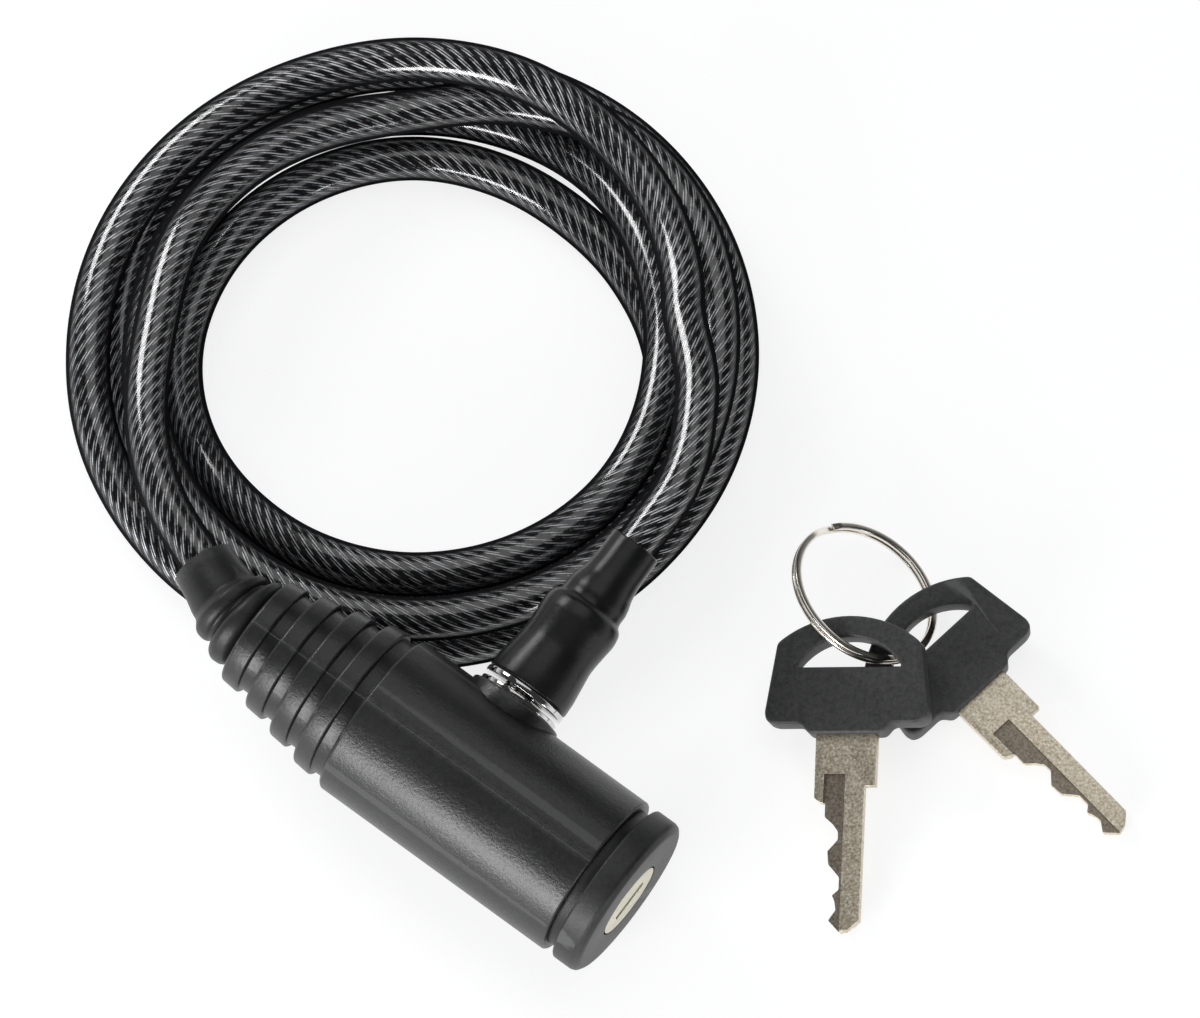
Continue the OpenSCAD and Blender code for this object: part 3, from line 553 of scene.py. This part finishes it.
slopes = [slope_at(k) for k in range(len(stations))]


def coil_point(t):
    """The cable's middle at a number of degrees turned, on a smooth curve through the stations."""
    k = max(i for i in range(len(stations) - 1) if stations[i][0] <= t + 0.001)
    h = stations[k + 1][0] - stations[k][0]
    s = (t - stations[k][0]) / h
    r, z = ((2 * s ** 3 - 3 * s ** 2 + 1) * stations[k][i] + (s ** 3 - 2 * s ** 2 + s) * slopes[k][i - 1] * h
            + (3 * s ** 2 - 2 * s ** 3) * stations[k + 1][i] + (s ** 3 - s ** 2) * slopes[k + 1][i - 1] * h
            for i in (1, 2))
    angle = math.radians(180 - t)
    return Vector((r * math.cos(angle), r * math.sin(angle), z))


# degrees between two points of the route, and the points on each straight end
STEP, END_POINTS = 1.0, 8
first_turned, last_turned = stations[0][0], stations[-1][0]
whole_steps = range(math.ceil(first_turned / STEP) + 1, math.floor(last_turned / STEP))
straight = [i / END_POINTS for i in range(END_POINTS)]
route = [relief_mouth + f * (coil_start - relief_mouth) for f in straight] + [coil_start]
route += [coil_point(k * STEP) for k in whole_steps]
route += [coil_end] + [coil_end + f * (boot_mouth - coil_end) for f in straight[1:]] + [boot_mouth]
split_at = END_POINTS + 1 + SPLIT_TURNED - whole_steps[0]
route = [(p - ORIGIN) * MM for p in route]
along = [0.0]
for before, after in zip(route, route[1:]):
    along.append(along[-1] + (after - before).length)


def ring_frame(i):
    """Ways to the side of the run and up from it, at one point of the route."""
    way = (route[min(i + 1, len(route) - 1)] - route[max(i - 1, 0)]).normalized()
    side = way.cross(Vector((0, 0, 1))).normalized()
    return side, side.cross(way)


# strands of the rope and points across each, the length of one twist, and how far a strand stands out
STRANDS, STRAND_SIDES, STRAND_PITCH, STRAND_RISE = 8, 7, 20.5 * MM, 0.5 * MM
WALL_SIDES = 36


def new_piece(name, points, faces, material, body=None, slot=None, replaces=(), smooth=35):
    """A piece from points in metres, smooth apart from edges sharper than smooth, in degrees."""
    mesh = bpy.data.meshes.new(name)
    mesh.from_pydata([tuple(p) for p in points], [], faces)
    mesh.materials.append(material)
    mesh.validate()
    mesh.shade_smooth()
    mesh.set_sharp_from_angle(angle=math.radians(smooth))
    piece = bpy.data.objects.new(name, mesh)
    bpy.context.scene.collection.objects.link(piece)
    if body:
        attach(piece, body)
    if replaces:
        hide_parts(*replaces)
    return piece


def skin_faces(rows, sides, close=True):
    """Faces of a tube of rows of points, with its two ends if it is closed."""
    faces = []
    for here in range(0, (rows - 1) * sides, sides):
        after = here + sides
        faces += [(here + j, after + j, after + (j + 1) % sides, here + (j + 1) % sides) for j in range(sides)]
    if close:
        faces += [tuple(range(sides)), tuple(range((rows - 1) * sides, rows * sides))[::-1]]
    return faces


def sheath_piece(name, a, b, ends):
    """The sheath from one point of the route to another; ends says which of them is closed."""
    points = []
    for i in range(a, b + 1):
        side, up = ring_frame(i)
        for j in range(WALL_SIDES):
            angle = 2 * math.pi * j / WALL_SIDES
            points.append(route[i] + CABLE_D / 2 * MM * (math.cos(angle) * side + math.sin(angle) * up))
    rows = b - a + 1
    faces = skin_faces(rows, WALL_SIDES, False)
    if ends[0]:
        faces.append(tuple(range(WALL_SIDES)))
    if ends[1]:
        faces.append(tuple(range((rows - 1) * WALL_SIDES, rows * WALL_SIDES))[::-1])
    return new_piece(name, points, faces, clear_sheath, smooth=60), route[a:b + 1]


def rope_piece(name, a, b):
    """Round strands laid round the rope, with the strand number and length kept for its wires."""
    sides = STRANDS * STRAND_SIDES
    points = []
    for i in range(a, b + 1):
        side, up = ring_frame(i)
        for j in range(sides):
            angle = 2 * math.pi * (j / sides - along[i] / STRAND_PITCH)
            across = 2 * (j % STRAND_SIDES) / STRAND_SIDES - 1
            r = ROPE_D / 2 * MM - STRAND_RISE * (1 - math.sqrt(max(0, 1 - across ** 2)))
            points.append(route[i] + r * (math.cos(angle) * side + math.sin(angle) * up))
    rows = b - a + 1
    piece = new_piece(name, points, skin_faces(rows, sides), rope_steel, smooth=80)
    lay = piece.data.uv_layers.new(name="lay")
    for face in piece.data.polygons:
        columns = [v % sides for v in face.vertices]
        wraps = max(columns) - min(columns) > sides // 2
        for corner, column in zip(face.loop_indices, columns):
            row = piece.data.loops[corner].vertex_index // sides
            u = (column + (sides if wraps and column == 0 else 0)) / STRAND_SIDES
            lay.data[corner].uv = (u, along[a + row] / MM)
    return piece


def lay_cable():
    """Both stretches of the cable, each a clear sheath round its rope."""
    last = len(route) - 1
    coil_wall, coil_line = sheath_piece("coil_sheath_wall", 0, split_at, (True, False))
    tail_wall, tail_line = sheath_piece("tail_sheath_wall", split_at, last, (False, True))
    coil_rope = rope_piece("coil_steel_rope", 0, split_at)
    tail_rope = rope_piece("tail_steel_rope", split_at, last)
    for piece, slot, node in ((coil_wall, "clear_sheath", "sheath_coil"),
                              (coil_rope, "rope_steel", "rope_coil")):
        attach(piece, "lock_body")
        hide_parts(node)
    for piece, slot, node in ((tail_wall, "clear_sheath", "sheath_tail"),
                              (tail_rope, "rope_steel", "rope_tail")):
        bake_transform(piece)
        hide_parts(node)
    return coil_wall, coil_line, coil_rope, tail_wall, tail_line, tail_rope


# ---------------------------------------------------------------- turned and moulded shapes

def rounded(points, radius, steps=3, closed=True):
    """The corners of an outline, eased by a radius where the edges are long enough."""
    out, n = [], len(points)
    for i, p in enumerate(points):
        if not closed and i in (0, n - 1):
            out.append(tuple(p))
            continue
        p = Vector(p[:2])
        before, after = Vector(points[i - 1][:2]) - p, Vector(points[(i + 1) % n][:2]) - p
        size = min(radius, 0.45 * before.length, 0.45 * after.length)
        if size < 0.01 or before.angle(after) > math.radians(172):
            out.append(tuple(p))
            continue
        a, b = p + size * before.normalized(), p + size * after.normalized()
        for k in range(steps + 1):
            f = k / steps
            out.append(tuple((1 - f) ** 2 * a + 2 * f * (1 - f) * p + f * f * b))
    return out


def turned_piece(name, outline, place, material, start=0, sweep=360, steps=96, **named):
    """A closed outline of (radius, height) turned about its axis, whole or part of the way."""
    whole = sweep >= 360
    rows = steps if whole else steps + 1
    points = []
    for i in range(rows):
        angle = math.radians(start + sweep * i / steps)
        points += [place @ Vector((r * math.cos(angle), r * math.sin(angle), z)) for r, z in outline]
    n = len(outline)
    faces = []
    for i in range(rows if whole else rows - 1):
        k = (i + 1) % rows
        faces += [(i * n + j, k * n + j, k * n + (j + 1) % n, i * n + (j + 1) % n) for j in range(n)]
    if not whole:
        faces += [tuple(range(n)), tuple(range((rows - 1) * n, rows * n))[::-1]]
    piece = new_piece(name, points, faces, material, **named)
    tidy_faces(piece)
    return piece


def tidy_faces(piece):
    """Points that fell together are joined, and every face looks outward."""
    shape = bmesh.new()
    shape.from_mesh(piece.data)
    bmesh.ops.remove_doubles(shape, verts=shape.verts, dist=0.002 * MM)
    bmesh.ops.recalc_face_normals(shape, faces=shape.faces)
    shape.to_mesh(piece.data)
    shape.free()


def keep_modifiers(piece, smooth=35):
    """The piece's mesh as its modifiers leave it."""
    seen = piece.evaluated_get(bpy.context.evaluated_depsgraph_get())
    mesh = bpy.data.meshes.new_from_object(seen)
    piece.modifiers.clear()
    piece.data = mesh
    mesh.shade_smooth()
    mesh.set_sharp_from_angle(angle=math.radians(smooth))


def shaped(piece, *steps, skin="INDEX"):
    """Cuts or joins other shapes, in order: each step is ("DIFFERENCE" or "UNION", tool).
    With skin "TRANSFER" the new faces take the tool's material."""
    for kind, tool in steps:
        cut = piece.modifiers.new("shape", "BOOLEAN")
        cut.operation, cut.object, cut.solver = kind, tool, "EXACT"
        cut.material_mode = skin
        keep_modifiers(piece)
        bpy.data.objects.remove(tool)
    return piece


def drum(name, r, z0, z1, place, steps=64):
    """A plain round tool to cut with."""
    return turned_piece(name, [(0, z0), (r, z0), (r, z1), (0, z1)], place, cover_black, steps=steps)


# radii and lengths of the covers, their ribs and the socket, in millimetres
BARREL_R, COVER_WALL, BARREL_LEN = 16, 2, 50.2
CAVITY_R = BARREL_R - COVER_WALL
RIBS, RIB_PITCH, RIB_LEN, RIB_DROP, SLEEVE_R, RIB_STEP = 4, 6.45, 3.85, 0.7, 10.7, 1.45
SLEEVE_START, SLEEVE_BORE = -25.8, 8
BUSH_R, BOSS_X, BOSS_R = 6.5, 16.6, 9.2
# the key face's height on the barrel's axis, and the radii of the plug and of the hole for it
FACE_Z, PLUG_R, CAP_BORE = 57.6, 7.2, 7.5


def cover_outline():
    """Half section of a cover: the ribs of the sleeve, the barrel and the hollow inside."""
    out = [(SLEEVE_BORE, SLEEVE_START)]
    for i in range(RIBS):
        r, z = SLEEVE_R + RIB_STEP * i, SLEEVE_START + RIB_PITCH * i
        out += [(r - 0.4, z), (r, z + 0.4), (r + 0.3, z + RIB_LEN - 0.3), (r, z + RIB_LEN),
                (r - RIB_DROP, z + RIB_LEN), (r - RIB_DROP, z + RIB_PITCH)]
    out += [(BARREL_R - 0.5, 0), (BARREL_R, 0.5), (BARREL_R, BARREL_LEN - 0.3), (BARREL_R - 0.3, BARREL_LEN),
            (CAVITY_R, BARREL_LEN), (CAVITY_R, COVER_WALL), (SLEEVE_BORE, COVER_WALL)]
    return rounded(out, 0.28, 3)


def make_covers():
    outline = cover_outline()
    bolt_side = turned_piece("cover_shell_bolt_side", outline, IN_BODY, cover_black, -90, 180, 96)
    boss = turned_piece("boss_tool", rounded([(0, CAVITY_R - 1), (BOSS_R, CAVITY_R - 1), (BOSS_R, BOSS_X),
                        (0, BOSS_X)], 0.5, 3), ON_BOLT, cover_black, steps=72)
    shaped(bolt_side, ("UNION", boss), ("DIFFERENCE", drum("inside_tool", CAVITY_R, COVER_WALL, BARREL_LEN + 2,
           IN_BODY, 96)), ("DIFFERENCE", drum("bush_tool", BUSH_R + 0.05, CAVITY_R - 2, BOSS_X + 2, ON_BOLT)))
    plain_side = turned_piece("cover_shell_plain_side", outline, IN_BODY, cover_black, 90, 180, 96)
    for piece, node in ((bolt_side, "cover_bolt_side"), (plain_side, "cover_plain_side")):
        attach(piece, "lock_body")
        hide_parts(node)


def make_seam():
    """The thin line of flash where the two covers meet, over the ribs and along the barrel."""
    # the outside of the section only, without the sleeve's bore and the hollow
    outer = [(r, z) for r, z in cover_outline() if r > SLEEVE_R - 1.2 and z < BARREL_LEN + 0.01
             and not (r < CAVITY_R + 0.1 and z > 0.1)]
    points, faces = [], []
    for sign in (1, -1):
        base = len(points)
        for r, z in outer:
            for x, lift in ((-0.14, -0.15), (-0.05, 0.09), (0.05, 0.09), (0.14, -0.15)):
                points.append(IN_BODY @ Vector((x, sign * (r + lift), z)))
        run = skin_faces(len(outer), 4)
        faces += [tuple(base + v for v in face) for face in run]
    piece = new_piece("seam_flash", points, faces, cover_black, "lock_body", "cover_black")
    tidy_faces(piece)


def make_cap():
    """The end cap with its rounded rim and the groove behind it."""
    outline = [(CAP_BORE, 48.1), (13.9, 48.1), (13.9, BARREL_LEN), (14.4, BARREL_LEN), (14.4, 52.2),
               (15.7, 52.2), (BARREL_R, 52.5), (BARREL_R, 56.1), (15.75, 56.85), (15, 57.4), (14.5, FACE_Z),
               (CAP_BORE + 0.1, FACE_Z), (CAP_BORE, 57.5)]
    turned_piece("end_cap_moulding", rounded(outline, 0.22, 3), IN_BODY, cap_black, body="lock_body",
                 slot="cap_black", replaces=["end_cap"])


def make_bush():
    """The chrome lining of the socket, with its rim."""
    outline = [(4.1, 9.9), (BUSH_R, 9.9), (BUSH_R, BOSS_X), (8.1, BOSS_X), (8.1, BOSS_X + 1),
               (4.1, BOSS_X + 1)]
    turned_piece("socket_bush_chrome", rounded(outline, 0.25, 4), ON_BOLT, bright_chrome, body="lock_body",
                 slot="bright_chrome", replaces=["socket_bush"])


def make_pin():
    """The locking pin with its groove, and the chrome flange."""
    outline = [(0, 3.4), (2.8, 3.4), (4, 4.6), (4, 6), (2.6, 6), (2.6, 9.8), (4, 9.8), (4, FLANGE_X),
               (8.2, FLANGE_X), (8.2, BOOT_X), (4.9, BOOT_X), (4.9, 24), (0, 24)]
    turned_piece("ferrule_pin_chrome", rounded(outline, 0.3, 4), ON_BOLT, bright_chrome, body="ferrule",
                 slot="bright_chrome", replaces=["ferrule_pin"])


def make_boot():
    """The black boot with its soft steps, from the flange to the cable's mouth."""
    x = BOOT_X
    outline = [(4.1, x), (7.8, x), (8.2, x + 0.4), (8.1, x + 3), (7.7, x + 6), (7.25, x + 9.2), (7.3, x + 11),
               (7.5, x + 13.4), (7.7, x + 15.4), (7.6, x + 16.6), (7.3, x + 17.9), (6.3, x + 18.9),
               (6.15, x + 19.9), (6.2, x + 21.2), (5.9, x + 22.6), (5.3, x + 24.4), (5, x + 27),
               (4.9, BOOT_END), (4.05, BOOT_END), (4.05, x + 22.5), (5, x + 22.5), (5, x)]
    turned_piece("ferrule_boot_moulding", rounded(outline, 0.9, 4), ON_BOLT, boot_black, body="ferrule",
                 slot="boot_black", replaces=["ferrule_boot"])


def make_relief():
    """The bent strain relief: a collar at its root, a waist, a second collar and the cable's mouth."""
    turn_relief = IN_BODY @ turn("Z", RELIEF_TURN)
    arc = BEND_R * bend
    # distance from the start of the bend, and radius there
    outer = [(-16, 7.9), (0, 7.9), (0.8, 7.9), (1.2, 7.3), (2, 8.9), (3.6, 9.2), (4.4, 8.6), (4.9, 7.1),
             (5.6, 6.9), (6.2, 7.8), (7.6, 7.9), (8.3, 7.2), (9, 6.6), (arc, 6.5), (arc + 2.4, 6.1),
             (arc + 4.6, 5.9), (arc + STUB_LEN, 5.8)]
    stations_out = rounded(outer, 0.7, 3, closed=False)
    sides = 64
    points = []
    for run, r in stations_out + [(arc + STUB_LEN, 4.05), (-16, 4.05)]:
        angle = max(0, min(run, arc)) / BEND_R
        centre = Vector((BEND_R * (1 - math.cos(angle)), 0, RELIEF_Z - BEND_R * math.sin(angle)))
        past = run - max(0, min(run, arc))
        centre += past * Vector((math.sin(angle), 0, -math.cos(angle)))
        out_way = Vector((-math.cos(angle), 0, -math.sin(angle)))
        for j in range(sides):
            a = 2 * math.pi * j / sides
            spoke = math.cos(a) * out_way + math.sin(a) * Vector((0, 1, 0))
            points.append(turn_relief @ (centre + r * spoke))
    rows = len(stations_out) + 2
    faces = skin_faces(rows, sides, False)
    faces += [((rows - 1) * sides + j, (rows - 1) * sides + (j + 1) % sides, (j + 1) % sides, j)
              for j in range(sides)]
    piece = new_piece("strain_relief_moulding", points, faces, relief_black, "lock_body", "relief_black",
                      ["strain_relief"])
    tidy_faces(piece)


def make_plug():
    """The turning plug with its keyway."""
    outline = [(0, 26.6), (PLUG_R, 26.6), (PLUG_R, FACE_Z), (0, FACE_Z)]
    piece = turned_piece("plug_barrel", rounded(outline, 0.18, 3), IN_BODY, plug_brass, steps=72)
    tail = turned_piece("tail_tool", rounded([(0, 24.1), (2.4, 24.1), (2.4, 27), (0, 27)], 0.1), IN_BODY,
                        plug_brass, steps=48)
    slot = box_piece("keyway_tool", (-4, -1.15, 27.2), (4, 1.15, FACE_Z + 1.4), IN_BODY, plug_brass)
    shaped(piece, ("UNION", tail), ("DIFFERENCE", slot))
    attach(piece, "plug")
    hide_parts("plug")


def box_piece(name, low, high, place, material, **named):
    """A block between two corners, to cut with."""
    corners = [(x, y, z) for z in (low[2], high[2]) for x, y in
               ((low[0], low[1]), (high[0], low[1]), (high[0], high[1]), (low[0], high[1]))]
    faces = [(3, 2, 1, 0), (4, 5, 6, 7)] + [(i, (i + 1) % 4, 4 + (i + 1) % 4, 4 + i) for i in range(4)]
    return new_piece(name, [place @ Vector(p) for p in corners], faces, material, **named)


# ---------------------------------------------------------------- keys and ring

# the bow's thickness, round end, half widths at its root and where the round end starts; the blade's thickness
BOW_T, BOW_R, BOW_HALF, BOW_SIDE, BLADE_T = 5, 20, 15.2, 13.13, 2
BLADE_Z = (BOW_T - BLADE_T) / 2


def arc_points(centre, r, a, b, n):
    """An arc in n parts from a to b degrees, its centre on the key's axis."""
    return [(centre + r * math.cos(math.radians(a + (b - a) * i / n)),
             r * math.sin(math.radians(a + (b - a) * i / n))) for i in range(n + 1)]


def bow_outline():
    edge = math.degrees(math.asin(BOW_SIDE / BOW_R))
    out = arc_points(0.2, BOW_R, 180 - edge, 180 + edge, 20)
    right = [(-2, -BOW_HALF + 0.2), (-0.6, -BOW_HALF + 0.6), (0, -BOW_HALF + 2), (0, -8.2), (1.8, -6.8)]
    return rounded(out + right + [(x, -y) for x, y in right[::-1]], 0.8, 3)


def hole_outline():
    """The D-shaped hole: a straight side toward the blade and an arc under the bow's round end."""
    flat, half, r, centre = -10.4, 9.7, 11.7, -4.2
    reach = math.degrees(math.asin(half / r))
    return rounded(arc_points(centre, r, 180 - reach, 180 + reach, 12) + [(flat, -half), (flat, half)], 1.1, 4)


def plate_piece(name, outline, hole, low, high, ease, place, material):
    """A flat plate with eased edges, standing between two heights."""
    flat = bpy.data.curves.new(name, "CURVE")
    flat.dimensions, flat.fill_mode = "2D", "BOTH"
    flat.extrude, flat.offset = (high - low) / 2 - ease, -ease
    flat.bevel_depth, flat.bevel_resolution = ease, 3
    for loop in (outline, hole):
        if loop:
            spline = flat.splines.new("POLY")
            spline.points.add(len(loop) - 1)
            for point, (x, y) in zip(spline.points, loop):
                point.co = (x, y, 0, 1)
            spline.use_cyclic_u = True
    holder = bpy.data.objects.new(name + "_curve", flat)
    bpy.context.scene.collection.objects.link(holder)
    mesh = bpy.data.meshes.new_from_object(holder.evaluated_get(bpy.context.evaluated_depsgraph_get()))
    bpy.data.objects.remove(holder)
    mesh.transform(place @ Matrix.Translation((0, 0, (low + high) / 2)))
    mesh.materials.clear()
    mesh.materials.append(material)
    mesh.name = name
    piece = bpy.data.objects.new(name, mesh)
    bpy.context.scene.collection.objects.link(piece)
    tidy_faces(piece)
    mesh.shade_smooth()
    mesh.set_sharp_from_angle(angle=math.radians(35))
    return piece


# the blade's outline, along the key and across it, with the cuts on one edge
BLADE = [(-6, -5), (1.8, -5), (1.8, -5.6), (13.4, -5.5), (14.3, -4.3), (14.3, -3.5), (16.8, -3.5), (18.1, -2),
         (19.5, -0.95), (21, -0.9), (23.1, -2.75), (25.5, -2.5), (27.9, -0.4), (30.2, -0.4), (31.2, -1.6),
         (32.2, -1.1), (33.9, -0.8), (35.8, -2.1), (38, 0), (37.6, 1.7), (35.9, 3.6), (11.2, 3.6), (11.2, 5.6),
         (1.8, 5.6), (1.8, 5), (-6, 5)]
# milled faces: start, end and depth, then the edges of the broad one and of the groove behind it
MILL_U, MILL_END, MILL_DEPTH, BROAD_MILL, BACK_GROOVE = 9, 47, 0.5, (-3.8, 0.1), (1.3, 2.5)


def make_key(which, place, body):
    """A moulded bow on its stamped blade."""
    spot = in_key(place)
    bow = plate_piece(which + "_bow_moulding", bow_outline(), hole_outline(), 0, BOW_T, 0.55, spot,
                      bow_charcoal)
    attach(bow, body)
    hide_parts(which + "_bow")
    blade = plate_piece(which + "_blade_stamping", rounded(BLADE, 0.25, 2), None, BLADE_Z,
                        BLADE_Z + BLADE_T, 0.1, spot, key_nickel)
    for name, edges, z in (("broad_mill", BROAD_MILL, BLADE_Z + BLADE_T - MILL_DEPTH),
                           ("back_groove", BACK_GROOVE, BLADE_Z + MILL_DEPTH - BLADE_T)):
        mill = box_piece(name, (MILL_U, edges[0], z), (MILL_END, edges[1], z + BLADE_T), spot, key_milled)
        shaped(blade, ("DIFFERENCE", mill), skin="TRANSFER")
    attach(blade, body)
    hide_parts(which + "_blade")


# the ring's radius and its wire, then the degrees where the wire starts and ends, where it begins to rise,
# over how many degrees it does, and where the upper turn begins
RING_R, WIRE_W, WIRE_T = 13.9, 1.4, 0.95
WIRE_START, WIRE_END, RISE_AT, RISE_OVER, UPPER_AT = 4, 694, 333, 24, 345


def make_ring():
    """Two turns of flattened wire, the upper one rising over the end of the lower."""
    spot = set_down(RING_AT, turn("Z", RING_LOW) @ turn("Y", RING_TILT) @ turn("Z", RING_SPLIT))
    section = rounded([(-WIRE_W / 2, -WIRE_T / 2), (WIRE_W / 2, -WIRE_T / 2), (WIRE_W / 2, WIRE_T / 2),
                       (-WIRE_W / 2, WIRE_T / 2)], 0.42, 4)
    points, rows = [], 0
    for degree in range(WIRE_START, WIRE_END + 1, 2):
        rise = min(1, max(0, (degree - RISE_AT) / RISE_OVER))
        level = -WIRE_T / 2 + (WIRE_T - 0.01) * rise * rise * (3 - 2 * rise)
        size = 0.97 if degree > UPPER_AT else 1
        angle = math.radians(degree)
        taper = min(1, 0.35 + 0.65 * min(degree - WIRE_START, WIRE_END - degree) / 6)
        for w, t in section:
            r = RING_R + w * size
            points.append(spot @ Vector((r * math.cos(angle), r * math.sin(angle), level + t * taper)))
        rows += 1
    piece = new_piece("split_ring_wire", points, skin_faces(rows, len(section)), ring_nickel, "ring",
                      "ring_nickel", ["key_ring"])
    tidy_faces(piece)


INNER_FINISHES = {
    "lock_housing": core_zinc, "cable_end_in_body": cable_solid, "cable_crimp": crimp_steel,
    "anchor_pin": pin_steel, "retaining_pin": pin_steel, "wafer_springs": spring_steel, "cam": cam_steel,
    "cam_clip": spring_steel, "ferrule_crimp": crimp_steel, "cable_end_in_ferrule": cable_solid,
    **{"wafer_%d" % n: wafer_brass for n in range(1, 6)},
}


def dress_inner_parts():
    for node, material in INNER_FINISHES.items():
        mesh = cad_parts[node].data
        mesh.materials.clear()
        mesh.materials.append(material)


bpy.context.scene.view_settings.view_transform = "Standard"
add_camera()
coil_wall, coil_line, coil_rope, tail_wall, tail_line, tail_rope = lay_cable()
add_lamps()
add_room()
add_floor()
make_covers()
make_seam()
make_cap()
make_bush()
make_pin()
make_boot()
make_relief()
make_plug()
make_key("front_key", FRONT_KEY, "front_key")
make_key("rear_key", REAR_KEY, "rear_key")
make_ring()
dress_inner_parts()
